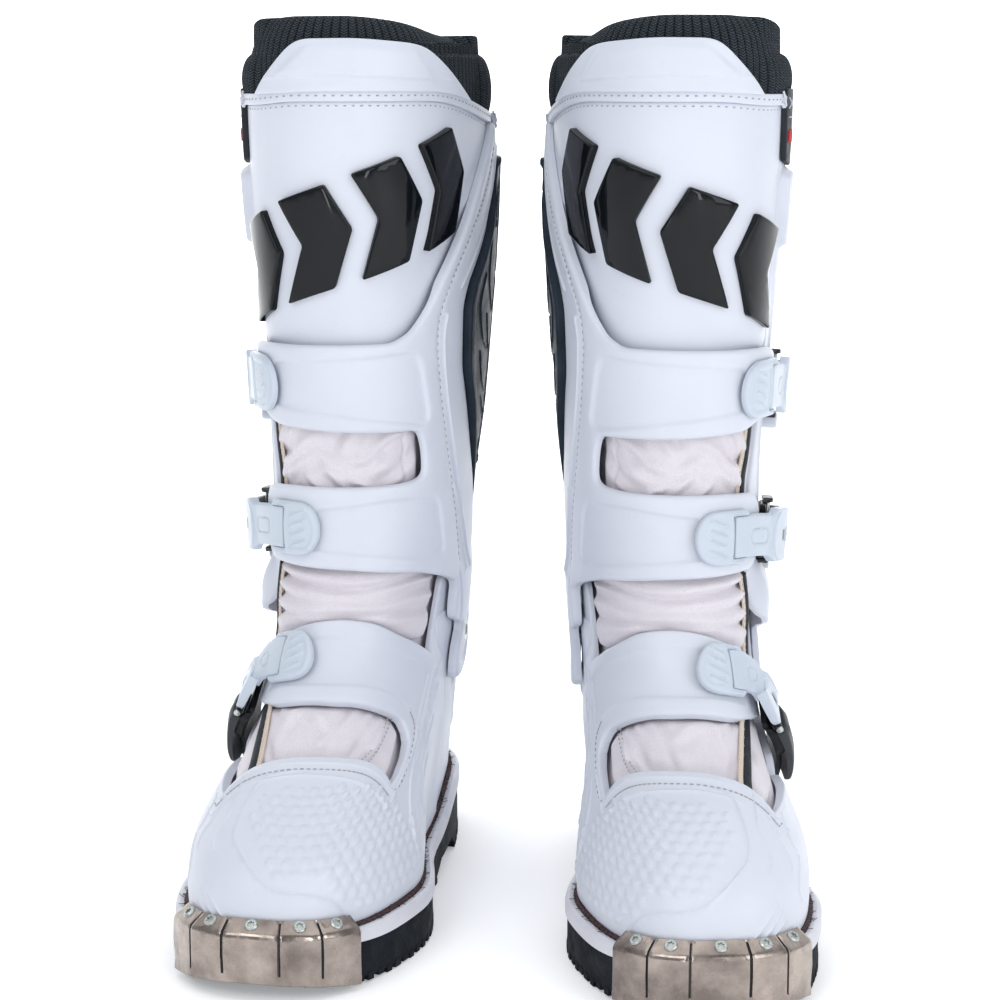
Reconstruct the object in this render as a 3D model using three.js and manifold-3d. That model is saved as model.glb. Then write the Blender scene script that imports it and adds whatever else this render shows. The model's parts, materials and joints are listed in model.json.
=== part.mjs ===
// A pair of off-road riding boots, millimetres, +Z up, toes towards -Y.
//
// Every panel of a boot is a layer laid on one smooth boot shape, the skin. A place on the
// skin is given by a, the distance round the boot from the middle of its front (plus towards
// the inner ankle), by z, the height above the floor, and by off, the distance out from it.
// The right boot is modelled, and the left one is its mirror image.
import * as THREE from 'three';
import { mergeVertices } from 'three/addons/utils/BufferGeometryUtils.js';
import Module from 'manifold-3d';

const wasm = await Module();
wasm.setup();

// ---- driving dimensions -------------------------------------------------------------------
const GAP = 0.5;                 // clearance between neighbouring panels
const SHAFT_CENTRE = 90;         // distance of the boot's own origin from the back of the heel
const PIVOT = { u: 78, z: 118, pin: 5, head: 9, tab: 20 };   // ankle hinge: place and radii
const BOOTS = [
  { prefix: 'right_', mirror: 1, x: -62.92, y: 70.18, toeOut: 12 },
  { prefix: 'left_', mirror: -1, x: 82.58, y: 48.18, toeOut: 3 },
];

// Half widths and ends of the boot at each height: [z, toe end, heel end, half width at the
// heel, at the waist, at the ball, roundness]; the ends are measured from the back of the heel.
const SECTIONS = [
  [20, 291, 5, 34, 38, 55, 2.6],
  [40, 291, 2, 35, 39, 56, 2.6],
  [55, 284, 1, 36, 40, 54, 2.6],
  [70, 264, 2, 37, 41, 49, 2.5],
  [85, 234, 5, 38, 42, 45, 2.4],
  [100, 209, 9, 39, 42, 42, 2.35],
  [117, 190, 13, 40, 42, 41, 2.3],
  [132, 179, 16, 40, 43, 41, 2.3],
  [147, 172, 18, 41, 44, 42, 2.3],
  [165, 167, 18, 43, 45, 43, 2.3],
  [190, 165, 15, 44, 46, 45, 2.3],
  [220, 166, 9, 45, 47, 46, 2.3],
  [260, 169, 2, 48, 50, 48, 2.3],
  [300, 172, -3, 51, 53, 51, 2.3],
  [340, 176, -4, 53, 55, 54, 2.3],
  [390, 179, 1, 54, 57, 55, 2.3],
  [430, 179, 8, 53, 56, 54, 2.3],
];
const WELT = [298, -2, 41, 44, 62, 2.6];      // outline of the midsole
const TREAD = [296, -1, 40, 43, 61, 2.6];     // outline of the outsole
const HEEL_RISE = 10;            // how much higher the sole's layers lie at the heel
const TOE_SPRING = 7;            // lift of the toe end over the floor
const TREAD_TOP = 19;            // top of the outsole under the ball
const WELT_TOP = 26;             // top of the midsole under the ball

// Layers, as [inside, outside] distances from the skin.
const LINER = [-11, -8];
const SHELL = [-4.6, -1.4];
const BAND = [0, 3.3];
const PLATE = [4.2, 7.2];        // strap holders, over the bands

// ---- the skin -----------------------------------------------------------------------------
const lerp = THREE.MathUtils.lerp;
const ease = (from, to, x) => THREE.MathUtils.smoothstep(x, from, to);
const columns = SECTIONS[0].map((_, k) => SECTIONS.map((row) => row[k]));

// A smooth curve through the points (xs, ys): cubic pieces with averaged slopes.
function through(xs, ys, x) {
  const t = THREE.MathUtils.clamp(x, xs[0], xs[xs.length - 1]);
  let i = 0;
  while (i < xs.length - 2 && t > xs[i + 1]) {
    i += 1;
  }
  const slope = (k) => (ys[k + 1] - ys[k]) / (xs[k + 1] - xs[k]);
  const tangent = (k) => {
    if (k === 0) return slope(0);
    if (k === xs.length - 1) return slope(k - 1);
    return (slope(k - 1) + slope(k)) / 2;
  };
  const h = xs[i + 1] - xs[i];
  const s = (t - xs[i]) / h;
  const rise = ys[i] * (2 * s ** 3 - 3 * s ** 2 + 1) + ys[i + 1] * (3 * s ** 2 - 2 * s ** 3);
  return rise + h * (tangent(i) * (s ** 3 - 2 * s ** 2 + s) + tangent(i + 1) * (s ** 3 - s ** 2));
}

// A broken line through knots [[x, y], ...] given from the highest x down.
function knots(list, x) {
  for (let i = 1; i < list.length; i += 1) {
    const [x1, y1] = list[i];
    const [x0, y0] = list[i - 1];
    if (x >= x1) return lerp(y1, y0, THREE.MathUtils.clamp((x - x1) / (x0 - x1), 0, 1));
  }
  return list[list.length - 1][1];
}

const sectionAt = (z) => columns.slice(1).map((ys) => through(columns[0], ys, z));

// Point of an outline at angle phi from its front, plus towards the inner side: [x, u].
function outlineAt([toe, heel, heelHalf, waistHalf, ballHalf, round], phi) {
  const power = 2 / round;
  const c = Math.cos(phi);
  const s = Math.sin(phi);
  const q = Math.sign(c) * Math.abs(c) ** power;
  const k = (1 + q) / 2;
  const waist = lerp(heelHalf, waistHalf, ease(0.15, 0.45, k));
  const half = lerp(waist, ballHalf, ease(0.45, 0.75, k));
  return [Math.sign(s) * Math.abs(s) ** power * half, (toe + heel) / 2 + ((toe - heel) / 2) * q];
}

function onSkin(phi, z) {
  const [x, u] = outlineAt(sectionAt(z), phi);
  return new THREE.Vector3(x, SHAFT_CENTRE - u, z);
}

// Place at angle phi and height z, lying off outside the skin along its normal.
function place(phi, z, off) {
  const round = onSkin(phi + 0.01, z).sub(onSkin(phi - 0.01, z));
  const up = onSkin(phi, z + 0.5).sub(onSkin(phi, z - 0.5));
  return onSkin(phi, z).addScaledVector(round.cross(up).normalize(), off);
}

// Distances round the skin at height z, in steps of one degree from the front to the back.
const girths = new Map();
function girthTable(z) {
  const key = z.toFixed(2);
  if (!girths.has(key)) {
    const table = [0];
    let last = onSkin(0, z);
    for (let degree = 1; degree <= 180; degree += 1) {
      const next = onSkin(THREE.MathUtils.degToRad(degree), z);
      table.push(table[degree - 1] + next.distanceTo(last));
      last = next;
    }
    girths.set(key, table);
  }
  return girths.get(key);
}

const halfGirth = (z) => girthTable(z)[180];

// Angle of the place a millimetres round the boot at height z, past the back too.
function angleAt(a, z) {
  const table = girthTable(z);
  const half = table[180];
  if (Math.abs(a) > half) {
    const turn = Math.sign(a);
    return turn * 2 * Math.PI + angleAt(a - turn * 2 * half, z);
  }
  const target = Math.abs(a);
  let degree = 0;
  while (degree < 179 && table[degree + 1] < target) {
    degree += 1;
  }
  const part = (target - table[degree]) / (table[degree + 1] - table[degree]);
  return Math.sign(a) * THREE.MathUtils.degToRad(degree + part);
}

const wrap = (a, z, off) => place(angleAt(a, z), z, off);
const uAt = (a, z) => SHAFT_CENTRE - onSkin(angleAt(a, z), z).y;

// Distance round the boot, at height z, to the place that lies u in front of the heel.
function roundTo(u, z) {
  const [toe, heel, , , , round] = sectionAt(z);
  const q = THREE.MathUtils.clamp((2 * u - toe - heel) / (toe - heel), -1, 1);
  const degrees = THREE.MathUtils.radToDeg(Math.acos(Math.sign(q) * Math.abs(q) ** (round / 2)));
  const table = girthTable(z);
  const low = Math.floor(Math.min(degrees, 179));
  return lerp(table[low], table[low + 1], degrees - low);
}

// ---- solids -------------------------------------------------------------------------------
// Moves each vertex of a unit box of cells: at(s, t, side) takes three numbers from 0 to 1.
function boxed(nAcross, nUp, at) {
  const box = new THREE.BoxGeometry(1, 1, 1, nAcross, nUp, 1);
  box.deleteAttribute('normal');
  box.deleteAttribute('uv');
  const geometry = mergeVertices(box, 1e-4);
  const points = geometry.attributes.position;
  for (let i = 0; i < points.count; i += 1) {
    const p = at(points.getX(i) + 0.5, points.getY(i) + 0.5, points.getZ(i) + 0.5);
    points.setXYZ(i, p.x, p.y, p.z);
  }
  return geometry;
}

// A panel on the skin. across(z) gives its ends round the boot, up(s) its bottom and top, and
// off(a, z) its inner and outer face.
function panel(nAcross, nUp, across, up, off) {
  return boxed(nAcross, nUp, (s, t, side) => {
    const [low, high] = up(s);
    const z = lerp(low, high, t);
    const [from, to] = across(z);
    const a = lerp(from, to, s);
    return wrap(a, z, lerp(...off(a, z), side));
  });
}

// A strip that follows a path of [a, z, off] points; width and thickness vary along it.
function ribbon(path, nAlong, width, thickness) {
  const curve = new THREE.CatmullRomCurve3(path.map((p) => new THREE.Vector3(...p)));
  return boxed(nAlong, 2, (s, t, side) => {
    const middle = curve.getPoint(s);
    const along = curve.getTangent(s);
    const reach = (width(s) * (t - 0.5)) / Math.hypot(along.x, along.y);
    const a = middle.x - along.y * reach;
    const z = middle.y + along.x * reach;
    return wrap(a, z, middle.z + thickness(s) * side);
  });
}

// A closed wall all round the boot. low(phi) and high(phi) are its edges, and off(phi, z)
// gives its inner and outer face.
function tube(nRound, nUp, low, high, off) {
  const rows = 2 * (nUp + 1);
  const torus = new THREE.TorusGeometry(1, 0.3, rows, nRound);
  torus.deleteAttribute('normal');
  torus.deleteAttribute('uv');
  const points = torus.attributes.position;
  for (let i = 0; i < points.count; i += 1) {
    const row = Math.floor(i / (nRound + 1)) % rows;
    const phi = (((i % (nRound + 1)) % nRound) / nRound) * 2 * Math.PI;
    const outside = row <= nUp;
    const t = outside ? row / nUp : 1 - (row - nUp - 1) / nUp;
    const z = lerp(low(phi), high(phi), t);
    const p = place(phi, z, off(phi, z)[outside ? 1 : 0]);
    points.setXYZ(i, p.x, p.y, p.z);
  }
  return mergeVertices(torus, 1e-3);
}

// A flat-ended block whose side wall follows at(phi), from one height to another.
function block(nRound, bottom, top, at) {
  const cylinder = new THREE.CylinderGeometry(1, 1, 1, nRound, 1);
  cylinder.deleteAttribute('normal');
  cylinder.deleteAttribute('uv');
  cylinder.rotateX(Math.PI / 2);
  const geometry = mergeVertices(cylinder, 1e-4);
  const points = geometry.attributes.position;
  for (let i = 0; i < points.count; i += 1) {
    const x = points.getX(i);
    const y = points.getY(i);
    const z = points.getZ(i) > 0 ? top : bottom;
    const rim = at(Math.atan2(x, -y));
    if (Math.hypot(x, y) > 0.5) points.setXYZ(i, rim.x, rim.y, z);
    else points.setXYZ(i, 0, SHAFT_CENTRE - 150, z);
  }
  return geometry;
}

// A profile in the boot's middle plane, points [u, z], made wider than the boot.
function slice(outline) {
  const shape = new THREE.Shape(outline.map(([u, z]) => new THREE.Vector2(u, z)));
  const geometry = new THREE.ExtrudeGeometry(shape, { depth: 160, bevelEnabled: false });
  const points = geometry.attributes.position;
  for (let i = 0; i < points.count; i += 1) {
    points.setXYZ(i, 80 - points.getZ(i), SHAFT_CENTRE - points.getX(i), points.getY(i));
  }
  return geometry;
}

// A round bar along X, from one x to another, on the ankle's hinge line.
function hingeBar(radius, from, to, segments = 14) {
  const bar = new THREE.CylinderGeometry(radius, radius, to - from, segments);
  bar.rotateZ(-Math.PI / 2);
  bar.translate((from + to) / 2, SHAFT_CENTRE - PIVOT.u, PIVOT.z);
  return bar;
}

function toSolid(source) {
  const plain = source.clone();
  plain.deleteAttribute('normal');
  plain.deleteAttribute('uv');
  const geometry = mergeVertices(plain, 1e-3);
  return new wasm.Manifold(new wasm.Mesh({
    numProp: 3,
    vertProperties: new Float32Array(geometry.attributes.position.array),
    triVerts: new Uint32Array(geometry.index.array),
  }));
}

function fromSolid(solid) {
  const mesh = solid.getMesh();
  const geometry = new THREE.BufferGeometry();
  geometry.setAttribute('position', new THREE.BufferAttribute(new Float32Array(mesh.vertProperties), 3));
  geometry.setIndex(new THREE.BufferAttribute(new Uint32Array(mesh.triVerts), 1));
  return geometry;
}

const join = (first, ...rest) => fromSolid(rest.reduce((sum, g) => sum.add(toSolid(g)), toSolid(first)));
const cut = (first, ...rest) => fromSolid(rest.reduce((sum, g) => sum.subtract(toSolid(g)), toSolid(first)));
const common = (first, second) => fromSolid(toSolid(first).intersect(toSolid(second)));

// ---- sole ---------------------------------------------------------------------------------
const spring = (u) => TOE_SPRING * (Math.max(0, u - 250) / 48) ** 2;
const heelRise = (u) => HEEL_RISE * (1 - ease(70, 150, u));
const treadTop = (u) => TREAD_TOP + heelRise(u) + 0.8 * spring(u);
const weltTop = (u) => WELT_TOP + heelRise(u) + 0.4 * spring(u);
const rimOf = (outline) => (phi) => {
  const [x, u] = outlineAt(outline, phi);
  return new THREE.Vector3(x, SHAFT_CENTRE - u, 0);
};
const SOLE_STATIONS = [-10, 70, 90, 110, 130, 150, 250, 264, 278, 290, 304];

// Height of the upper's lower edge over the floor, at angle phi.
const footEdge = (phi) => weltTop(SHAFT_CENTRE - onSkin(phi, 30).y) + GAP;

// Underside of the outsole: heel block, raised waist, tread bars and a lifted toe.
function treadProfile() {
  const groove = (u) => [[u, 0], [u + 1, 3], [u + 4, 3], [u + 5, 0]];
  const heel = [12, 26, 40, 54].flatMap(groove);
  const waist = [[76, 0], [82, 9], [122, 9], [130, 0]];
  const ball = [142, 157, 172, 187, 202, 217, 232].flatMap(groove);
  const toe = [250, 262, 274, 286, 304].map((u) => [u, spring(u)]);
  return [[-10, 0], ...heel, ...waist, ...ball, ...toe];
}

function outsole() {
  const top = SOLE_STATIONS.map((u) => [u, treadTop(u)]).reverse();
  return common(block(36, -1, 40, rimOf(TREAD)), slice([...treadProfile(), ...top]));
}

function midsole() {
  const bottom = SOLE_STATIONS.map((u) => [u, treadTop(u) + GAP]);
  const top = SOLE_STATIONS.map((u) => [u, weltTop(u)]).reverse();
  return common(block(36, 5, 50, rimOf(WELT)), slice([...bottom, ...top]));
}

function insole() {
  const bottom = SOLE_STATIONS.map((u) => [u, weltTop(u) + GAP]);
  const top = SOLE_STATIONS.map((u) => [u, weltTop(u) + 3.5]).reverse();
  return common(block(24, 5, 50, (phi) => place(phi, 38, LINER[0] - 3)), slice([...bottom, ...top]));
}

// Steel toe guard: a wall round the toe, a flange over the welt, and four slits.
function toeGuard() {
  const thick = 1.4;
  const flange = 5.2;
  const ends = [-42, 32].map(THREE.MathUtils.degToRad);
  const at = (phi, out, z) => {
    const rim = rimOf(WELT)(phi);
    const next = rimOf(WELT)(phi + 0.01).sub(rim);
    const normal = new THREE.Vector3(next.y, -next.x, 0).normalize();
    return rim.addScaledVector(normal, out).setZ(z);
  };
  const uOn = (phi) => SHAFT_CENTRE - rimOf(WELT)(phi).y;
  const plate = boxed(15, 2, (s, t, side) => {
    const phi = lerp(...ends, s);
    const top = weltTop(uOn(phi)) + GAP + thick * side;
    const z = t === 0 ? spring(uOn(phi)) + 0.6 : top;
    return at(phi, t === 1 ? -flange : GAP + thick * side, z);
  });
  const slits = [1, 2, 3, 4].map((i) => {
    const phi = lerp(...ends, i / 5);
    const slit = new THREE.BoxGeometry(0.9, 20, 17);
    slit.rotateZ(phi * 0.75);
    const middle = at(phi, -4, weltTop(uOn(phi)) - 4);
    slit.translate(middle.x, middle.y, middle.z);
    return slit;
  });
  return cut(plate, ...slits);
}

// ---- foot ---------------------------------------------------------------------------------
// Edges of the front moulding, as heights over the distance a round the boot.
const toeTop = (a) => Math.max(74, 88.5 - 0.0035 * (a - 2) ** 2);
const instepLow = (a) => 108 - (a < 10 ? 0.0015 : 0.0035) * (a - 10) ** 2;
const instepTop = (a) => (a < -4 ? 139 - 0.006 * (a + 4) ** 2
  : 139 - 0.3 * (Math.sqrt((a + 4) ** 2 + 100) - 10));
const INSTEP_END = -62;          // outer end of the band over the instep
const LACE_WINDOW_END = 57;      // inner end of the soft window under that band
const SIDE_SEAM_U = 110;         // where the toe moulding meets the heel cup on the inner side

// A cutter with plain ends a0 and a1, between two edges given as heights over a.
function cutter(n, a0, a1, low, high) {
  return panel(n, 2, () => [a0, a1], (s) => [low(lerp(a0, a1, s)), high(lerp(a0, a1, s))], () => [-12, 9]);
}

function toeShell() {
  const outer = (z) => -roundTo(lerp(172, 136, ease(80, 96, z)), z);
  const inner = (z) => roundTo(SIDE_SEAM_U + 2, z);
  const foot = (s) => footEdge(angleAt(lerp(outer(30), inner(30), s), 30));
  const body = panel(15, 6, (z) => [outer(z), inner(z)], (s) => [foot(s), 141], () => [-4.6, 0]);
  const above = cutter(9, -150, 150, instepTop, () => 160);
  const windowLow = (a) => toeTop(Math.min(a, 2) + 0.8 * Math.max(a - 2, 0));
  const bow = (a) => 4 * ease(LACE_WINDOW_END - 8, LACE_WINDOW_END, a);
  const windowHigh = (a) => instepLow(a) - bow(a);
  const window = cutter(9, -110, LACE_WINDOW_END, (a) => windowLow(a) + bow(a), windowHigh);
  const side = cutter(6, -210, INSTEP_END, toeTop, () => 160);
  return cut(body, above, window, side);
}

function footUpper() {
  return tube(20, 6, footEdge, (phi) => 132.5 - 2.5 * Math.cos(phi), () => LINER);
}

// Heel cup, round the back from the inner side seam to the outer one, with the ankle's holes.
function heelCup() {
  const front = (z) => lerp(169, 132, ease(78, 102, z));
  const across = (z) => [roundTo(SIDE_SEAM_U, z) - 2 * halfGirth(z), -roundTo(front(z), z)];
  const foot = (s) => footEdge(angleAt(lerp(...across(30), s), 30));
  const body = panel(17, 4, across, (s) => [foot(s), 136], () => [-4.6, -1]);
  const crest = (u) => 112 + 22 * ease(26, 56, u) - 22 * ease(100, 126, u);
  const over = (a) => crest(uAt(a, 118));
  const above = cutter(17, -325, -30, over, () => 150);
  return cut(body, above, hingeBar(PIVOT.pin + 0.3, -60, 60));
}

const anklePin = (side) => join(
  hingeBar(PIVOT.pin, side > 0 ? 35.5 : -49, side > 0 ? 49 : -35.5),
  hingeBar(PIVOT.head, side > 0 ? 47.9 : -50.4, side > 0 ? 50.4 : -47.9),
);

// Flexing ring between the foot and the leg, with folds across its front.
function bellows() {
  const front = (phi) => ease(0.1, 0.6, Math.cos(phi));
  const fold = (z) => 1.2 * Math.cos(((z - 134) * 2 * Math.PI) / 11);
  return tube(20, 4, (phi) => 133 - 2.5 * Math.cos(phi), (phi) => 158.5 + 9 * Math.cos(phi),
    (phi, z) => [-10.6, -7.6 + (5 + fold(z)) * front(phi) * ease(139, 143, z)]);
}

// ---- leg ----------------------------------------------------------------------------------
const CALF_FRONT = [[384, 64], [272, 62], [240, 50], [205, 43], [184, 46], [165, 54], [150, 80],
  [138, 100], [128, 104]];
const CALF_BACK = [[384, 167], [300, 167], [183, 128.5], [170, 129.5], [160, 137], [128, 142]];
const SHIELD_FRONT = [[357, 98], [304, 98], [284, 91], [183, 121]];
const SHIELD_BACK = [[357, 164.5], [300, 164.5], [183, 126]];
const FLARE = 5.6;               // how far the ankle tabs stand out over the heel cup
const calfFront = (z) => knots(CALF_FRONT, z);
const shieldFront = (z) => knots(SHIELD_FRONT, z);
const flare = (from, to, z) => 1 - ease(to, from, z);

function legUpper() {
  return tube(20, 4, (phi) => 159 + 9 * Math.cos(phi), () => 408, () => LINER);
}

function tongue() {
  return panel(5, 7, () => [-38, 38], () => [178, 402], () => [-16, -12.5]);
}

// How much of the gaiter is covered by the top guard, from 0 to 1.
const guarded = (a) => ease(-48, -37, a) * (1 - ease(115, 126, a));

function gaiter() {
  const roundAt = (phi, z) => {
    const degrees = THREE.MathUtils.radToDeg(phi > Math.PI ? 2 * Math.PI - phi : phi);
    const length = girthTable(z)[Math.round(degrees)];
    return phi > Math.PI ? -length : length;
  };
  const outside = (phi, z) => 2.6 - 4.6 * guarded(roundAt(phi, z)) * (1 - ease(413, 416, z));
  return tube(22, 4, () => 386.5, () => 423, (phi, z) => [-5.4, outside(phi, z)]);
}

function topGuard() {
  const top = (a) => 412 - 9 * (1 - ease(-33, -8, a)) - 13 * ease(75, 112, a);
  return panel(12, 2, () => [-33, 112], (s) => [386.6, top(lerp(-33, 112, s))], () => [0.6, 3.6]);
}

function shinPlate() {
  const inner = (z) => knots([[385, 96], [306, 96], [298, 87], [262, 83]], z);
  const front = panel(9, 4, (z) => [2 - calfFront(z), inner(z)], () => [262, 385], () => SHELL);
  const yoke = panel(5, 1, () => [90, 165.5], () => [359, 385], () => SHELL);
  return join(front, yoke);
}

// Outer and rear shell of the leg, with the outer ankle tab.
function calfShell() {
  const across = (z) => [knots(CALF_BACK, z) - 2 * halfGirth(z), -calfFront(z)];
  const layer = (a, z) => SHELL.map((off) => off + FLARE * flare(164, 148, z));
  const body = panel(12, 7, across, () => [128, 384], layer);
  const tabLayer = () => SHELL.map((off) => off + FLARE);
  const tab = panel(3, 3, () => [-132, -98], () => [112, 146], tabLayer);
  const disc = hingeBar(PIVOT.tab, -47.4, -43.8, 20);
  return cut(join(body, tab, disc), hingeBar(PIVOT.pin + 0.3, -60, 0));
}

function heatShield() {
  const across = (z) => [shieldFront(z), knots(SHIELD_BACK, z)];
  return panel(5, 7, across, () => [183, 357], () => [-4, 2.4]);
}

// Two bands over the shin joined by a strip on the inner side, which ends in the ankle tab.
const WINDOW = { low: 203, high: 230, end: 47 };
function cuffFrame() {
  const outerEnd = (z) => -lerp(46, 57, ease(205, 232, z));
  const strip = (s) => ease(58, 76, lerp(-52, 95, s));
  const layer = (a, z) => BAND.map((off) => off + 1.6 * flare(164, 150, z));
  const body = panel(9, 6, (z) => [outerEnd(z), shieldFront(Math.max(z, 183)) - 4],
    (s) => [165 - 14 * strip(s), 272 + 26 * strip(s)], layer);
  const bow = (a) => 6 * ease(WINDOW.end - 9, WINDOW.end, a);
  const edges = [(a) => WINDOW.low + bow(a), (a) => WINDOW.high - bow(a)];
  const window = cutter(7, -75, WINDOW.end, ...edges);
  const tab = panel(3, 4, () => [97, 132], () => [112, 156], () => BAND.map((off) => off + 1.6));
  const disc = hingeBar(PIVOT.tab, 43.8, 47.4, 20);
  return cut(join(cut(body, window), tab, disc), hingeBar(PIVOT.pin + 0.3, 0, 60));
}

// ---- closures -----------------------------------------------------------------------------
// Each closure runs from its hinge on a band, over the holder, the strap and its head, to the
// lever: a point [a, z, off] at each of those places, and the ends of the base under the lever.
const LEVER_GAP = 3.2;           // between a strap's head and its lever, along the path
const aside = (u, z, off) => [-roundTo(u, z), z, off];
const CLOSURES = [
  {
    name: 'upper',
    width: 31,
    hinge: [-25, 255, 4.2],
    holderEnd: [-57, 255, 4.2],
    neck: [-70, 255, 4.8],
    headEnd: [-87, 255, 5.4],
    leverEnd: [-120, 255, 4.2],
    base: [[-84, 255, -0.3], [-120, 255, -0.3]],
  },
  {
    name: 'middle',
    width: 28,
    hinge: [-2, 184, 4.2],
    holderEnd: [-32, 184, 4.2],
    neck: [-50, 184, 6.6],
    headEnd: [-70, 184, 9],
    leverEnd: [-102, 184, 5.6],
    base: [[-66, 184, -0.3], [-104, 184, -0.3]],
  },
  {
    name: 'lower',
    width: 25,
    hinge: [0, 128, 1],
    holderEnd: [-30, 121, 1],
    neck: [-45, 112, 3.4],
    headEnd: aside(168, 98, 6),
    leverEnd: aside(158, 69, 5.4),
    base: [aside(158, 94, 0.8), aside(149, 69, 0.8)],
  },
];
const step = (from, to, t) => from.map((value, k) => lerp(value, to[k], t));
const beyond = (from, to, run) => step(from, to, run / Math.hypot(to[0] - from[0], to[1] - from[1]));

function holder({ hinge, holderEnd, width }) {
  const round = (s) => width * (0.62 + 0.38 * Math.sin((Math.min(1, s / 0.45) * Math.PI) / 2));
  return ribbon([hinge, step(hinge, holderEnd, 0.5), holderEnd], 6, round, () => PLATE[1] - PLATE[0]);
}

function strap({ hinge, holderEnd, neck, headEnd, width }) {
  const [a, z] = beyond(holderEnd, hinge, -3.6);
  const begin = [a, z, holderEnd[2] + 0.6];
  const head = (s) => ease(0.42, 0.5, s);
  const wide = (s) => width * (0.76 + 0.24 * head(s));
  return ribbon([begin, step(begin, neck, 0.55), neck, headEnd], 8, wide, (s) => 2.8 + 2 * head(s));
}

function lever({ headEnd, leverEnd, width }) {
  const [a, z, off] = beyond(headEnd, leverEnd, LEVER_GAP);
  const low = [a, z, off - 0.6];
  const taper = (s) => width * (0.84 - 0.14 * ease(0.5, 1, s));
  return ribbon([low, step(low, leverEnd, 0.5), leverEnd], 5, taper, (s) => 5.2 - 2 * s);
}

function base({ base: [from, to], width }) {
  return ribbon([from, step(from, to, 0.5), to], 5, () => width * 0.8, () => 3);
}

// Hinge line on a closure at [a, z, off]: its point, and its direction across the path to next,
// so that a positive turn lifts what lies towards next away from the boot.
function hingeLine([a, z, off], next) {
  const run = Math.hypot(next[0] - a, next[1] - z);
  const across = [-(next[1] - z) / run, (next[0] - a) / run];
  const ends = [4, -4].map((d) => wrap(a + across[0] * d, z + across[1] * d, off));
  const point = wrap(a, z, off);
  return { point, axis: ends[1].sub(ends[0]).normalize() };
}

// ---- finish -------------------------------------------------------------------------------
const finish = (color, roughness, metalness = 0) => ({ color, roughness, metalness });
const WHITE = finish(0xe2e6ee, 0.38);
const CREAM = finish(0xe6e0e6, 0.62);
const STRAP = finish(0xd3dee8, 0.35);
const BLACK = finish(0x24282d, 0.45);
const KNIT = finish(0x262d36, 0.95);
const RUBBER = finish(0x23292f, 0.8);
const STEEL = finish(0xb9a99c, 0.28, 1);
const LINING = finish(0x8d9197, 0.95);

const PIECES = [
  ['outsole', outsole, RUBBER],
  ['midsole', midsole, WHITE],
  ['insole', insole, LINING],
  ['toe_guard', toeGuard, STEEL],
  ['toe_shell', toeShell, WHITE],
  ['foot_upper', footUpper, CREAM],
  ['heel_cup', heelCup, WHITE],
  ['ankle_pin_inner', () => anklePin(1), STEEL],
  ['ankle_pin_outer', () => anklePin(-1), STEEL],
  ['bellows', bellows, CREAM],
  ['leg_upper', legUpper, CREAM],
  ['tongue', tongue, LINING],
  ['gaiter', gaiter, KNIT],
  ['top_guard', topGuard, WHITE],
  ['shin_plate', shinPlate, WHITE],
  ['calf_shell', calfShell, WHITE],
  ['heat_shield', heatShield, RUBBER],
  ['cuff_frame', cuffFrame, WHITE],
  ...CLOSURES.flatMap((closure) => [
    [`${closure.name}_strap_holder`, () => holder(closure), STRAP],
    [`${closure.name}_strap`, () => strap(closure), STRAP],
    [`${closure.name}_lever`, () => lever(closure), BLACK],
    [`${closure.name}_buckle_base`, () => base(closure), BLACK],
  ]),
];

function mirrored(geometry) {
  const copy = geometry.clone();
  copy.scale(-1, 1, 1);
  const index = Array.from(copy.index.array);
  for (let i = 0; i < index.length; i += 3) {
    [index[i + 1], index[i + 2]] = [index[i + 2], index[i + 1]];
  }
  copy.setIndex(index);
  return copy;
}

const pair = new THREE.Group();
pair.name = 'riding_boots';
pair.userData.hinges = {};
const frames = BOOTS.map(({ prefix, x, y, toeOut, mirror }) => {
  const frame = new THREE.Group();
  frame.name = `${prefix}boot`;
  frame.position.set(x, y, 0);
  frame.rotation.z = THREE.MathUtils.degToRad(-toeOut * mirror);
  frame.updateMatrix();
  pair.add(frame);
  return frame;
});

for (const [name, make, { color, roughness, metalness }] of PIECES) {
  const geometry = make();
  BOOTS.forEach(({ prefix, mirror }, i) => {
    const own = mirror > 0 ? geometry : mirrored(geometry);
    const mesh = new THREE.Mesh(own, new THREE.MeshStandardMaterial({ color, roughness, metalness }));
    mesh.name = prefix + name;
    frames[i].add(mesh);
  });
}

// The hinge lines in the pair's own frame; a mirrored line turns the other way.
function recordHinge(name, { point, axis }) {
  BOOTS.forEach(({ prefix, mirror }, i) => {
    const at = point.clone().multiply(new THREE.Vector3(mirror, 1, 1)).applyMatrix4(frames[i].matrix);
    const turn = axis.clone().multiply(new THREE.Vector3(1, mirror, mirror));
    pair.userData.hinges[prefix + name] = { at, axis: turn.transformDirection(frames[i].matrix) };
  });
}

recordHinge('ankle', {
  point: new THREE.Vector3(0, SHAFT_CENTRE - PIVOT.u, PIVOT.z),
  axis: new THREE.Vector3(1, 0, 0),
});
for (const closure of CLOSURES) {
  const { name, hinge, holderEnd, headEnd, leverEnd } = closure;
  recordHinge(`${name}_strap`, hingeLine([hinge[0], hinge[1], hinge[2] + 1.5], holderEnd));
  const [a, z, off] = beyond(headEnd, leverEnd, LEVER_GAP / 2);
  recordHinge(`${name}_lever`, hingeLine([a, z, off + 5.2], leverEnd));
}

export default pair;
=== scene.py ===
"""Looks of a pair of off-road riding boots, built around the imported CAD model.

Lengths are millimetres in one boot's own frame, as in the part's source. A place on the boot
is [a, z, off]: a is the distance round the boot from the middle of its front (plus towards the
inner ankle), z the height above the floor, and off the distance outside the boot's smooth skin.
The right boot is built, and the left boot is its mirror image.
"""

import json
import math

import bpy
import numpy as np
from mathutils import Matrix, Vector
from mathutils.geometry import delaunay_2d_cdt

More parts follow.
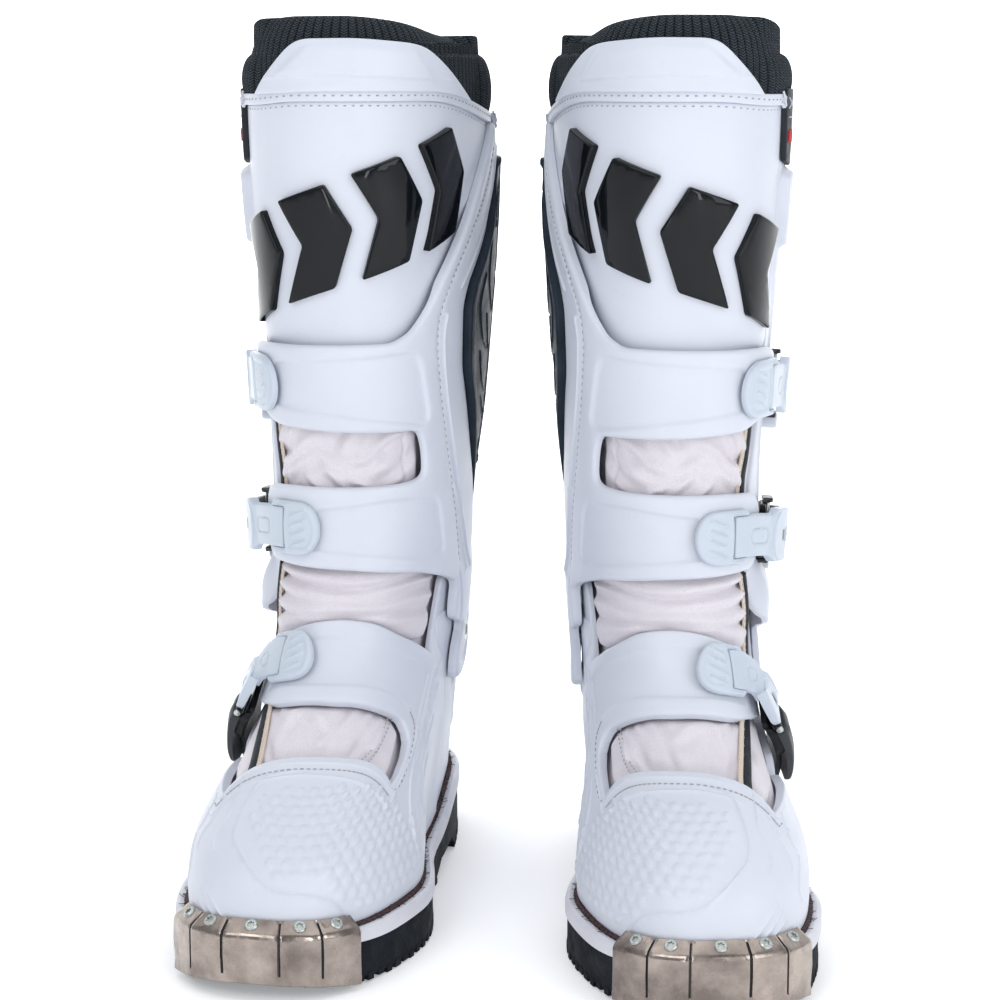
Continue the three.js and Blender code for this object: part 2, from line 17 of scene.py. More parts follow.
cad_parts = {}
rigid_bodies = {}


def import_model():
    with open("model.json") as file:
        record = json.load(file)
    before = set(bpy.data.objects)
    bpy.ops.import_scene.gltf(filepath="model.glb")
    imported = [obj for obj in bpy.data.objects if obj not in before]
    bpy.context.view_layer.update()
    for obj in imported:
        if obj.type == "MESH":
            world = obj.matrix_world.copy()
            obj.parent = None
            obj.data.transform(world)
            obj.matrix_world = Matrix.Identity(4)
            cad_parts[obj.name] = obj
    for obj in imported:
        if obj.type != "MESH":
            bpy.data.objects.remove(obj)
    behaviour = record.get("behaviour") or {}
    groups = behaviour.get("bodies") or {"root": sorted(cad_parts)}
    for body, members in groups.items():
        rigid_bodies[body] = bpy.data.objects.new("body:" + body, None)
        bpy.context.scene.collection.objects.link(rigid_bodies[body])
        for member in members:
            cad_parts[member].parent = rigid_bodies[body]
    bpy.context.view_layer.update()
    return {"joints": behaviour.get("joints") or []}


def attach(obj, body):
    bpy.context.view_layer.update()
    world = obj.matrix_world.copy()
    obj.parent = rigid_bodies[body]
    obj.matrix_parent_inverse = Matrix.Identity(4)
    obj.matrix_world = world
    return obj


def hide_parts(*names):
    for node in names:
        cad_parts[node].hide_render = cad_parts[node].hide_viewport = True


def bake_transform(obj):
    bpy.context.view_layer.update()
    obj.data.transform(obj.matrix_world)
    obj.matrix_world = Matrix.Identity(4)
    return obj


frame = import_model()

# ---- the boot's skin, as in the CAD ---------------------------------------------------------
SHAFT_CENTRE = 90        # distance of a boot's own origin from the back of the heel
PIVOT_U = 78             # ankle hinge, from the back of the heel
PIVOT_Z = 118
GAP = 0.5                # between the sole's layers

# height, toe end, heel end, half width at the heel, at the waist, at the ball, roundness
SECTIONS = np.array([
    [20, 291, 5, 34, 38, 55, 2.6],
    [40, 291, 2, 35, 39, 56, 2.6],
    [55, 284, 1, 36, 40, 54, 2.6],
    [70, 264, 2, 37, 41, 49, 2.5],
    [85, 234, 5, 38, 42, 45, 2.4],
    [100, 209, 9, 39, 42, 42, 2.35],
    [117, 190, 13, 40, 42, 41, 2.3],
    [132, 179, 16, 40, 43, 41, 2.3],
    [147, 172, 18, 41, 44, 42, 2.3],
    [165, 167, 18, 43, 45, 43, 2.3],
    [190, 165, 15, 44, 46, 45, 2.3],
    [220, 166, 9, 45, 47, 46, 2.3],
    [260, 169, 2, 48, 50, 48, 2.3],
    [300, 172, -3, 51, 53, 51, 2.3],
    [340, 176, -4, 53, 55, 54, 2.3],
    [390, 179, 1, 54, 57, 55, 2.3],
    [430, 179, 8, 53, 56, 54, 2.3],
])
# The same without the height, for the layers of the sole.
WELT = (298, -2, 41, 44, 62, 2.6)
TREAD = (296, -1, 40, 43, 61, 2.6)


def lerp(start, end, t):
    return start + (end - start) * t


def ease(low, high, x):
    t = np.clip((np.asarray(x, float) - low) / (high - low), 0, 1)
    return t * t * (3 - 2 * t)


def fall(low, high, x):
    """1 up to low, 0 from high on."""
    return 1 - ease(low, high, x)


def unit(vectors):
    return vectors / np.maximum(np.linalg.norm(vectors, axis=-1, keepdims=True), 1e-9)


def knots(points, x):
    """A broken line through points [(x, y), ...] of rising x."""
    xs, ys = zip(*points)
    return np.interp(x, xs, ys)


def through(xs, ys, x):
    """A smooth curve through the points (xs, ys): cubic pieces with averaged slopes."""
    t = np.clip(x, xs[0], xs[-1])
    i = np.clip(np.searchsorted(xs, t) - 1, 0, len(xs) - 2)
    slope = np.diff(ys) / np.diff(xs)
    tangent = np.concatenate([slope[:1], (slope[:-1] + slope[1:]) / 2, slope[-1:]])
    h = xs[i + 1] - xs[i]
    s = (t - xs[i]) / h
    rise = ys[i] * (2 * s**3 - 3 * s**2 + 1) + ys[i + 1] * (3 * s**2 - 2 * s**3)
    return rise + h * (tangent[i] * (s**3 - 2 * s**2 + s) + tangent[i + 1] * (s**3 - s**2))


def outline_at(section, phi):
    """x and u of an outline at angle phi from its front, plus towards the inner side."""
    toe, heel, heel_half, waist_half, ball_half, roundness = section
    power = 2 / roundness
    c, s = np.cos(phi), np.sin(phi)
    q = np.sign(c) * np.abs(c) ** power
    k = (1 + q) / 2
    waist = lerp(heel_half, waist_half, ease(0.15, 0.45, k))
    half = lerp(waist, ball_half, ease(0.45, 0.75, k))
    return np.sign(s) * np.abs(s) ** power * half, (toe + heel) / 2 + (toe - heel) / 2 * q


class Skin:
    """Tables of the skin: its points and normals over z and over the share f of half a girth."""

    Z0, Z1 = 14, 440
    TURN = 720           # steps of f in a whole turn
    HALF_TURN = 900      # steps of the angle phi in half a turn

    def __init__(self):
        self.z = np.arange(self.Z0, self.Z1 + 1.0)
        self.sections = [through(SECTIONS[:, 0], SECTIONS[:, k], self.z) for k in range(1, 7)]
        phi = np.linspace(0, math.pi, self.HALF_TURN + 1)
        x, u = outline_at([s[:, None] for s in self.sections], phi[None, :])
        steps = np.hypot(np.diff(x, axis=1), np.diff(u, axis=1))
        self.arc = np.concatenate([np.zeros((len(self.z), 1)), np.cumsum(steps, axis=1)], axis=1)
        self.half = self.arc[:, -1]
        shares = np.linspace(0, 1, self.TURN // 2 + 1)
        rows = []
        for k in range(len(self.z)):
            along = shares * self.half[k]
            rows.append((np.interp(along, self.arc[k], x[k]), np.interp(along, self.arc[k], u[k])))
        x, u = np.array([r[0] for r in rows]), np.array([r[1] for r in rows])
        x = np.concatenate([-x[:, :0:-1], x[:, :-1]], axis=1)
        u = np.concatenate([u[:, :0:-1], u[:, :-1]], axis=1)
        height = np.broadcast_to(self.z[:, None], x.shape)
        self.points = np.stack([x, SHAFT_CENTRE - u, height], axis=-1)
        around = np.roll(self.points, -1, axis=1) - np.roll(self.points, 1, axis=1)
        self.normals = unit(np.cross(around, np.gradient(self.points, axis=0)))
        climb = np.linalg.norm(np.diff(self.points, axis=0), axis=-1)
        self.climb = np.concatenate([np.zeros((1, self.TURN)), np.cumsum(climb, axis=0)])

    def sample(self, table, f, z):
        """table between its rows (z) and its columns (f, which goes round)."""
        row = np.clip(z - self.Z0, 0, len(self.z) - 1.001)
        column = (f + 1) / 2 * self.TURN
        i, j = np.floor(row).astype(int), np.floor(column).astype(int)
        s, t = row - i, column - j
        j0, j1 = j % self.TURN, (j + 1) % self.TURN
        if table.ndim == 3:
            s, t = s[..., None], t[..., None]
        low = lerp(table[i, j0], table[i, j1], t)
        return lerp(low, lerp(table[i + 1, j0], table[i + 1, j1], t), s)

    def half_girth(self, z):
        return np.interp(z, self.z, self.half)


skin = Skin()


def wrap(a, z, off=0.0):
    """Points at distance a round the boot and height z, lying off outside the skin."""
    a, z, off = np.broadcast_arrays(*(np.asarray(v, float) for v in (a, z, off)))
    f = a / skin.half_girth(z)
    return skin.sample(skin.points, f, z) + unit(skin.sample(skin.normals, f, z)) * off[..., None]


def normal_at(a, z):
    """The outward direction."""
    return wrap(a, z, 1.0) - wrap(a, z, 0.0)


def round_to(u, z):
    """Distance round the boot, at height z, to the place that lies u in front of the heel."""
    u, z = np.broadcast_arrays(np.asarray(u, float), np.asarray(z, float))
    toe, heel, _, _, _, roundness = [np.interp(z, skin.z, s) for s in skin.sections]
    q = np.clip((2 * u - toe - heel) / (toe - heel), -1, 1)
    phi = np.arccos(np.sign(q) * np.abs(q) ** (roundness / 2))
    row = np.clip(z - skin.Z0, 0, len(skin.z) - 1.001)
    column = np.clip(phi / math.pi * skin.HALF_TURN, 0, skin.HALF_TURN - 0.001)
    i, j = np.floor(row).astype(int), np.floor(column).astype(int)
    low = lerp(skin.arc[i, j], skin.arc[i, j + 1], column - j)
    high = lerp(skin.arc[i + 1, j], skin.arc[i + 1, j + 1], column - j)
    return lerp(low, high, row - i)


def side_at(u, z):
    """The same for a single place, on the inner side."""
    return float(round_to(u, z))


# ---- flat drawings of the skin --------------------------------------------------------------
FOOT_WIDE = 300.0        # half a girth on the foot's drawing
FOOT_TOP = 260.0         # height above which the foot's drawing isn't used


def leg_space(flat, off):
    """The leg is close to a cylinder, so its drawing has a and z as they are."""
    return wrap(flat[:, 0], flat[:, 1], off)


def on_foot(points):
    """The foot is drawn by the share of the girth and the climb along the skin, near true size."""
    a, z = np.asarray(points, float).T
    f = a / skin.half_girth(z)
    return np.stack([f * FOOT_WIDE, skin.sample(skin.climb, f, z)], axis=-1)


def from_foot(flat):
    """a and z of places on the foot's drawing, found by halving the range of z."""
    f = flat[:, 0] / FOOT_WIDE
    low = np.full(len(flat), float(skin.Z0))
    high = np.full(len(flat), FOOT_TOP)
    for _ in range(20):
        middle = (low + high) / 2
        under = skin.sample(skin.climb, f, middle) < flat[:, 1]
        low = np.where(under, middle, low)
        high = np.where(under, high, middle)
    return f * skin.half_girth(low), low


def foot_space(flat, off):
    return wrap(*from_foot(flat), off)


# ---- flat outlines --------------------------------------------------------------------------
BATCH = 2000             # points that are measured at one time, to save memory
OUTLINE_STEP = 2.0       # spacing of the points along a plate's outline


def resampled(points, step, closed=True):
    """The same line with points at most step apart."""
    points = np.asarray(points, float)
    ends = np.roll(points, -1, axis=0) if closed else points[1:]
    out = []
    for start, end in zip(points, ends):
        n = max(1, math.ceil(np.linalg.norm(end - start) / step))
        out.extend(lerp(start, end, k / n) for k in range(n))
    if not closed:
        out.append(points[-1])
    return np.array(out)


def rounded(points, radius):
    """A polygon with its corners rounded. radius is one number or one for each corner."""
    points = np.asarray(points, float)
    radii = np.broadcast_to(radius, len(points))
    out = []
    before_all, after_all = np.roll(points, 1, axis=0), np.roll(points, -1, axis=0)
    for before, corner, after, r in zip(before_all, points, after_all, radii):
        if r <= 0:
            out.append(corner)
            continue
        back, on = before - corner, after - corner
        r_back = min(r, np.linalg.norm(back) * 0.49)
        r_on = min(r, np.linalg.norm(on) * 0.49)
        start = corner + back / np.linalg.norm(back) * r_back
        end = corner + on / np.linalg.norm(on) * r_on
        for t in np.linspace(0, 1, 7):
            out.append((1 - t) ** 2 * start + 2 * t * (1 - t) * corner + t**2 * end)
    return np.array(out)


def smooth_line(points, steps=8):
    """A Catmull-Rom curve through the points."""
    p = np.asarray(points, float)
    q = np.concatenate([2 * p[:1] - p[1:2], p, 2 * p[-1:] - p[-2:-1]])
    out = []
    for k in range(1, len(q) - 2):
        for t in np.arange(steps) / steps:
            out.append(0.5 * (2 * q[k] + (q[k + 1] - q[k - 1]) * t
                              + (2 * q[k - 1] - 5 * q[k] + 4 * q[k + 1] - q[k + 2]) * t**2
                              + (3 * q[k] - 3 * q[k + 1] + q[k + 2] - q[k - 1]) * t**3))
    out.append(p[-1])
    return np.array(out)


def sides_of(line, distance, closed):
    """Points beside a line, distance away on its left (minus: on its right)."""
    if closed:
        along = unit(np.roll(line, -1, axis=0) - np.roll(line, 1, axis=0))
    else:
        along = unit(np.gradient(line, axis=0))
    return line + np.stack([-along[:, 1], along[:, 0]], axis=1) * distance


def distance_to(points, line, closed):
    """How far each point is from the line."""
    starts = line if closed else line[:-1]
    spans = (np.roll(line, -1, axis=0) if closed else line[1:]) - starts
    square = np.maximum((spans**2).sum(1), 1e-12)
    best = np.empty(len(points))
    for k in range(0, len(points), BATCH):
        off = points[k:k + BATCH, None, :] - starts[None]
        t = np.clip((off * spans).sum(-1) / square, 0, 1)
        best[k:k + BATCH] = np.sqrt((((off - t[..., None] * spans) ** 2).sum(-1)).min(1))
    return best


def within(points, loop):
    """Which points lie inside the closed loop."""
    odd = np.zeros(len(points), bool)
    x0, y0 = loop[:, 0], loop[:, 1]
    x1, y1 = np.roll(x0, -1), np.roll(y0, -1)
    rise = np.where(y1 == y0, 1e-12, y1 - y0)
    for k in range(0, len(points), BATCH):
        px, py = points[k:k + BATCH, 0, None], points[k:k + BATCH, 1, None]
        crosses = ((y0 > py) != (y1 > py)) & (px < (x1 - x0) * (py - y0) / rise + x0)
        odd[k:k + BATCH] ^= crosses.sum(1) % 2 == 1
    return odd


def lattice(loop, step):
    """A hexagonal lattice of points over the box round a loop."""
    low, high = loop.min(0), loop.max(0)
    rows = np.arange(low[1], high[1], step * 0.866)
    out = []
    for k, y in enumerate(rows):
        xs = np.arange(low[0] + (k % 2) * step / 2, high[0], step)
        out.append(np.stack([xs, np.full(len(xs), y)], axis=1))
    return np.concatenate(out)


# ---- relief on a plate ----------------------------------------------------------------------
class Line:
    """A ridge (height above 0) or a groove (below 0) along a line of the given whole width."""

    def __init__(self, points, width, height, closed=False):
        self.line = resampled(points, 1.6, closed)
        self.width, self.height, self.closed = width, height, closed

    def seeds(self):
        return np.concatenate([sides_of(self.line, self.width * k, self.closed)
                               for k in (-0.52, -0.26, 0, 0.26, 0.52)])

    def rise(self, flat):
        d = distance_to(flat, self.line, self.closed) / (self.width / 2)
        return self.height * 0.5 * (1 + np.cos(math.pi * np.clip(d, 0, 1)))


class Field:
    """A raised (or sunk) area whose rim slopes over the width of its bevel."""

    def __init__(self, points, height, bevel):
        self.loop = resampled(points, OUTLINE_STEP)
        self.height, self.bevel = height, bevel

    def seeds(self):
        return np.concatenate([sides_of(self.loop, self.bevel * k, True) for k in (-0.55, -0.2, 0.2, 0.55)])

    def rise(self, flat):
        d = distance_to(flat, self.loop, True) * np.where(within(flat, self.loop), 1, -1)
        return self.height * ease(-self.bevel / 2, self.bevel / 2, d)


class Bumps:
    """Round raised discs on a lattice inside a loop."""

    def __init__(self, loop, pitch, radius, height):
        self.loop = np.asarray(loop, float)
        centres = lattice(self.loop, pitch)
        clear = distance_to(centres, self.loop, True) > radius * 1.1
        self.centres = centres[within(centres, self.loop) & clear]
        self.radius, self.height = radius, height

    def seeds(self):
        turns = np.linspace(0, 2 * math.pi, 9)[:-1]
        rings = [self.centres]
        for share in (0.55, 0.95, 1.1):
            for t in turns:
                rings.append(self.centres + np.array([math.cos(t), math.sin(t)]) * self.radius * share)
        return np.concatenate(rings)

    def rise(self, flat):
        out = np.zeros(len(flat))
        box = (flat > self.loop.min(0) - 3).all(1) & (flat < self.loop.max(0) + 3).all(1)
        inside = np.flatnonzero(box)
        for k in range(0, len(inside), 1000):
            part = inside[k:k + 1000]
            off = flat[part][:, None] - self.centres[None]
            d = np.sqrt((off**2).sum(-1)).min(1) / self.radius
            out[part] = self.height * (1 - ease(0.62, 1.0, d))
        return out


# ---- solids ---------------------------------------------------------------------------------
class Shape:
    """Points, faces and, for each point, its place on the flat drawing."""

    def __init__(self, points, faces, flat=None):
        self.points = np.asarray(points, float)
        self.faces = faces
        self.flat = np.zeros((len(self.points), 2)) if flat is None else np.asarray(flat, float)


def joined(*shapes):
    """All the shapes as one."""
    points, faces, flat, count = [], [], [], 0
    for s in shapes:
        points.append(s.points)
        flat.append(s.flat)
        faces.extend([tuple(i + count for i in face) for face in s.faces])
        count += len(s.points)
    return Shape(np.concatenate(points), faces, np.concatenate(flat))


def facing_out(shape):
    """The shape with its faces turned outwards."""
    p = shape.points - shape.points.mean(0)
    volume = 0.0
    for corners in {len(face) for face in shape.faces}:
        f = np.array([face for face in shape.faces if len(face) == corners])
        for k in range(1, corners - 1):
            volume += (p[f[:, 0]] * np.cross(p[f[:, k]], p[f[:, k + 1]])).sum()
    if volume < 0:
        shape.faces = [tuple(reversed(face)) for face in shape.faces]
    return shape


def seed_points(outline, edge, relief, spacing):
    """Places inside an outline to join by triangles: close by its rim and the relief, else a lattice."""
    fine = [sides_of(outline, edge * k, True) for k in (-1, -0.5, -0.14, 0.14, 0.5, 1)]
    fine += [r.seeds() for r in relief]
    coarse = lattice(outline, spacing)
    seeds = np.concatenate(fine + [coarse])
    is_coarse = np.arange(len(seeds)) >= len(seeds) - len(coarse)
    clearance = np.where(is_coarse, edge + spacing * 0.3, min(0.1, edge * 0.12))
    seeds = seeds[within(seeds, outline) & (distance_to(seeds, outline, True) > clearance)]
    cell = min(0.5, max(0.12, edge * 0.3))
    return seeds[np.unique(np.round(seeds / cell), axis=0, return_index=True)[1]]


def triangulated(outline, seeds):
    """Flat points and triangles that fill an outline."""
    count = len(outline)
    border = [(k, (k + 1) % count) for k in range(count)]
    places = [Vector(p) for p in outline.tolist() + seeds.tolist()]
    made = delaunay_2d_cdt(places, border, [], 0, 1e-4, False)
    flat = np.array([tuple(v) for v in made[0]])
    triangles = np.array([f for f in made[2] if len(f) == 3])
    triangles = triangles[within(flat[triangles].mean(1), outline)]
    used, triangles = np.unique(triangles, return_inverse=True)
    return flat[used], triangles.reshape(-1, 3)


def plate(loop, space, top, bottom, edge, relief=(), *, spacing):
    """A solid over a flat loop. space(flat, off) gives its points, and top and bottom, numbers or
    functions of flat, its two faces. edge is the radius of its upper rim."""
    outline = resampled(loop, OUTLINE_STEP)
    flat, triangles = triangulated(outline, seed_points(outline, edge, relief, spacing))
    inward = np.clip(edge - distance_to(flat, outline, True), 0, edge)
    height = (top(flat) if callable(top) else top) - (edge - np.sqrt(edge**2 - inward**2))
    for r in relief:
        height = height + r.rise(flat)
    depth = bottom(flat) if callable(bottom) else np.full(len(flat), float(bottom))
    height = np.maximum(height, depth + 0.2)
    n = len(flat)
    triangles = triangles.tolist()
    sides = {(t[k], t[(k + 1) % 3]): True for t in triangles for k in range(3)}
    faces = [tuple(t) for t in triangles] + [tuple(v + n for v in reversed(t)) for t in triangles]
    faces += [(j, i, i + n, j + n) for i, j in sides if (j, i) not in sides]
    points = np.concatenate([space(flat, height), space(flat, depth)])
    return facing_out(Shape(points, faces, np.concatenate([flat, flat])))


def grid_faces(rows, columns, close_rows=False):
    """Quads between rows of points, each row a closed ring."""
    faces = []
    for i in range(rows if close_rows else rows - 1):
        for j in range(columns):
            i1, j1 = (i + 1) % rows, (j + 1) % columns
            faces.append((i * columns + j, i * columns + j1, i1 * columns + j1, i1 * columns + j))
    return faces


def capped(rows):
    """A solid over rows of points, each row a closed ring, with flat ends."""
    n, m = rows.shape[:2]
    faces = grid_faces(n, m) + [tuple(range(m - 1, -1, -1)), tuple(range((n - 1) * m, n * m))]
    return facing_out(Shape(rows.reshape(-1, 3), faces))


def tube(low, high, outer, inner, f, t, lip=1.0):
    """A closed wall all round the boot, with rounded lips. low(f) and high(f) are its edges, and
    outer(a, z) and inner(a, z) its faces. f and t are its steps round the boot and upwards."""
    bottom, top = low(f), high(f)
    levels = [(0, 0.45)] + [(step, 1) for step in t] + [(1, 0.45)]
    levels += [(step, 0) for step in (1, 0.8, 0.5, 0.2, 0)]
    rows, flats = [], []
    for step, share in levels:
        z = lerp(bottom, top, step)
        near_edge = np.minimum(z - bottom, top - z)
        a = f * skin.half_girth(z)
        inside, outside = inner(a, z), outer(a, z)
        drop = lip - np.sqrt(np.maximum(lip**2 - np.clip(lip - near_edge, 0, lip) ** 2, 0))
        off = lerp(inside, outside - drop, share)
        rows.append(wrap(a, z, off))
        flats.append(np.stack([a, z], axis=1))
    faces = grid_faces(len(rows), len(f), True)
    return facing_out(Shape(np.concatenate(rows), faces, np.concatenate(flats)))


def sweep(points, profile, normals):
    """profile, [(across, up), ...], carried along a line of points. Across lies along the skin."""
    points = np.asarray(points, float)
    along = unit(np.gradient(points, axis=0))
    across = unit(np.cross(along, normals))
    up = np.cross(across, along)
    return capped(np.stack([points + across * p[0] + up * p[1] for p in profile], axis=1))


def ring(radius, sides):
    turns = np.arange(sides) / sides * 2 * math.pi
    return [(radius * math.cos(t), radius * math.sin(t)) for t in turns]


def beads(centres, along, normals, half_length, half_width, half_height):
    """Small rounded grains, such as stitches, at each centre, lying along the given directions."""
    along = unit(along)
    across = unit(np.cross(along, normals))
    up = np.cross(across, along)
    stations = [(-1, 0.35), (-0.6, 0.9), (0, 1.0), (0.6, 0.9), (1, 0.35)]
    rows = []
    for s, r in stations:
        for t in np.arange(6) / 6 * 2 * math.pi:
            rows.append(along * (s * half_length) + across * (r * half_width * math.cos(t))
                        + up * (r * half_height * math.sin(t)))
    points = centres[:, None] + np.stack(rows, axis=1)
    one = grid_faces(5, 6) + [tuple(range(5, -1, -1)), tuple(range(24, 30))]
    faces = [tuple(i + k * len(rows) for i in face) for k in range(len(centres)) for face in one]
    return facing_out(Shape(points.reshape(-1, 3), faces))


def lathe(profile, centre, axis, sides):
    """profile, [(radius, height), ...], turned about axis."""
    axis = unit(np.asarray(axis, float))
    side = unit(np.cross(axis, [0.3, 0.2, 1.0]))
    other = np.cross(axis, side)
    rows = [[centre + axis * height + radius * (side * math.cos(t) + other * math.sin(t))
             for t in np.arange(sides) / sides * 2 * math.pi] for radius, height in profile]
    return capped(np.array(rows))


def spaced(line, pitch):
    """Points every pitch along a line, and the directions there."""
    line = np.asarray(line, float)
    run = np.concatenate([[0], np.cumsum(np.linalg.norm(np.diff(line, axis=0), axis=1))])
    at = np.arange(pitch / 2, run[-1], pitch)
    points = np.stack([np.interp(at, run, line[:, k]) for k in range(line.shape[1])], axis=1)
    ahead = np.stack([np.interp(np.minimum(at + 0.3, run[-1]), run, line[:, k])
                      for k in range(line.shape[1])], axis=1)
    behind = np.stack([np.interp(at - 0.3, run, line[:, k]) for k in range(line.shape[1])], axis=1)
    return points, ahead - behind


# ---- putting shapes on both boots -----------------------------------------------------------
class Side:
    """One boot: where its own frame lies, read from its ankle joint, and whether it is mirrored."""

    def __init__(self, prefix, mirror):
        self.prefix, self.mirror = prefix, mirror
        joint = next(j for j in frame["joints"] if j["name"] == prefix + "ankle")
        x = np.array(joint["axis"], float)
        z = np.array([0.0, 0.0, 1.0])
        self.turn = np.stack([x, np.cross(z, x), z], axis=1)
        pivot = np.array([0.0, SHAFT_CENTRE - PIVOT_U, PIVOT_Z]) / 1000
        self.origin = np.array(joint["pos_m"], float) - self.turn @ pivot

    def place(self, points):
        own = np.asarray(points, float).reshape(-1, 3) * [self.mirror, 1, 1] / 1000
        return own @ self.turn.T + self.origin


SIDES = [Side("right_", 1), Side("left_", -1)]
BEND_LOW, BEND_HIGH = 134, 158       # heights of the ankle's soft parts; build places them on each boot but uses them no further
SHARP = math.radians(38)


def build(name, shape, material, body, stands_for=(), sharp=SHARP):
    """Makes the shape on both boots. body is a body's name, or "ankle" for the soft parts at the ankle,
    which are left in place without a body.
    """
    for side in SIDES:
        mesh = bpy.data.meshes.new(side.prefix + name)
        faces = shape.faces
        if side.mirror < 0:
            faces = [tuple(reversed(face)) for face in faces]
        mesh.from_pydata(side.place(shape.points).tolist(), [], faces)
        layer = mesh.uv_layers.new(name="skin")
        corners = np.empty(len(mesh.loops), np.int64)
        mesh.loops.foreach_get("vertex_index", corners)
        layer.data.foreach_set("uv", shape.flat[corners].astype(np.float32).ravel())
        mesh.polygons.foreach_set("use_smooth", np.ones(len(mesh.polygons), bool))
        mesh.set_sharp_from_angle(angle=sharp)
        mesh.materials.append(material)
        piece = bpy.data.objects.new(side.prefix + name, mesh)
        bpy.context.scene.collection.objects.link(piece)
        if stands_for:
            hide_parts(*[side.prefix + node for node in stands_for])
        if body == "ankle":
            low, high = side.place([[0, 0, BEND_LOW], [0, 0, BEND_HIGH]])
            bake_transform(piece)
            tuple(low)
            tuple(high)
        else:
            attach(piece, side.prefix + body)


# ---- materials ------------------------------------------------------------------------------
def rgba(colour):
    """A socket as it is, or a colour with its alpha."""
    return colour if isinstance(colour, bpy.types.NodeSocket) else (*colour, 1.0)


def times(colour, share):
    return tuple(c * share for c in colour)


class Nodes:
    """A material's node tree, with short calls for the nodes used here."""

    def __init__(self, name, slot, roughness, metallic=0.0, specular=0.5):
        self.material = bpy.data.materials.new(name)
        self.material.use_nodes = True
        self.material["slot"] = slot
        self.tree = self.material.node_tree
        self.shader = self.tree.nodes["Principled BSDF"]
        self.shader.inputs["Roughness"].default_value = roughness
        self.shader.inputs["Metallic"].default_value = metallic
        self.shader.inputs["Specular IOR Level"].default_value = specular
        self.where = self.add("ShaderNodeTexCoord").outputs["Object"]

    def add(self, kind, **settings):
        node = self.tree.nodes.new(kind)
        for key, value in settings.items():
            setattr(node, key, value)
        return node

    def feed(self, socket, value):
        if isinstance(value, bpy.types.NodeSocket):
            self.tree.links.new(value, socket)
        else:
            socket.default_value = value

    def noise(self, scale, detail, roughness=0.55, stretch=None):
        node = self.add("ShaderNodeTexNoise")
        where = self.where
        if stretch:
            mapping = self.add("ShaderNodeMapping")
            mapping.inputs["Scale"].default_value = stretch
            self.feed(mapping.inputs["Vector"], where)
            where = mapping.outputs["Vector"]
        self.feed(node.inputs["Vector"], where)
        node.inputs["Scale"].default_value = scale
        node.inputs["Detail"].default_value = detail
        node.inputs["Roughness"].default_value = roughness
        return node.outputs["Fac"]

    def cells(self, scale, feature="F1", randomness=1.0):
        node = self.add("ShaderNodeTexVoronoi", feature=feature)
        self.feed(node.inputs["Vector"], self.where)
        node.inputs["Scale"].default_value = scale
        node.inputs["Randomness"].default_value = randomness
        return node.outputs["Distance"]

    def spread(self, value, low, high, to_low=0.0, to_high=1.0):
        node = self.add("ShaderNodeMapRange")
        limits = {"From Min": low, "From Max": high, "To Min": to_low, "To Max": to_high}
        for socket, number in limits.items():
            node.inputs[socket].default_value = number
        self.feed(node.inputs["Value"], value)
        return node.outputs["Result"]

    def math(self, operation, first, second=0.0):
        node = self.add("ShaderNodeMath", operation=operation)
        self.feed(node.inputs[0], first)
        self.feed(node.inputs[1], second)
        return node.outputs[0]

    def mix(self, share, first, second):
        node = self.add("ShaderNodeMix", data_type="RGBA")
        self.feed(node.inputs["Factor"], share)
        self.feed(node.inputs[6], rgba(first))
        self.feed(node.inputs[7], rgba(second))
        return node.outputs[2]

    def skin_uv(self):
        """Distance round the boot and height, in millimetres."""
        uv = self.add("ShaderNodeUVMap", uv_map="skin")
        parts = self.add("ShaderNodeSeparateXYZ")
        self.feed(parts.inputs[0], uv.outputs[0])
        return parts.outputs[0], parts.outputs[1]

    def finish(self, colour=None, roughness=None, bumps=()):
        """bumps: (height, strength, distance in metres), from the deepest one outwards."""
        if colour is not None:
            self.feed(self.shader.inputs["Base Color"], rgba(colour))
        if roughness is not None:
            self.feed(self.shader.inputs["Roughness"], roughness)
        normal = None
        for height, strength, distance in bumps:
            bump = self.add("ShaderNodeBump")
            bump.inputs["Strength"].default_value = strength
            bump.inputs["Distance"].default_value = distance
            self.feed(bump.inputs["Height"], height)
            if normal is not None:
                self.feed(bump.inputs["Normal"], normal)
            normal = bump.outputs["Normal"]
        if normal is not None:
            self.feed(self.shader.inputs["Normal"], normal)
        return self.material


def moulded(name, slot, light, dark, rough, specular):
    """Moulded plastic: faint uneven tone, a fine spark-eroded grain and slight waviness."""
    n = Nodes(name, slot, rough[0], specular=specular)
    tone = n.spread(n.noise(14, 4), 0.35, 0.7)
    speck = n.spread(n.noise(420, 2), 0.66, 0.74, 0.0, 0.35)
    colour = n.mix(speck, n.mix(tone, light, dark), times(dark, 0.93))
    shine = n.spread(n.noise(60, 5), 0.3, 0.7, *rough)
    return n.finish(colour, shine, [(n.noise(2400, 2), 0.05, 0.0004), (n.noise(45, 2), 0.06, 0.002)])


def leather(name, slot, light, dark):
    """Soft coated leather: pebbled grain, fine crosswise wrinkles and uneven tone."""
    n = Nodes(name, slot, 0.6)
    tone = n.spread(n.noise(30, 5), 0.35, 0.7)
    pores = n.spread(n.cells(900, "DISTANCE_TO_EDGE"), 0.0, 0.12)
    colour = n.mix(pores, times(dark, 0.95), n.mix(tone, light, dark))
    wrinkles = n.noise(260, 4, 0.6, stretch=(1, 1, 3.2))
    n.shader.inputs["Sheen Weight"].default_value = 0.15
    return n.finish(colour, n.spread(tone, 0, 1, 0.52, 0.66),
                    [(pores, 0.16, 0.0004), (wrinkles, 0.22, 0.0007)])


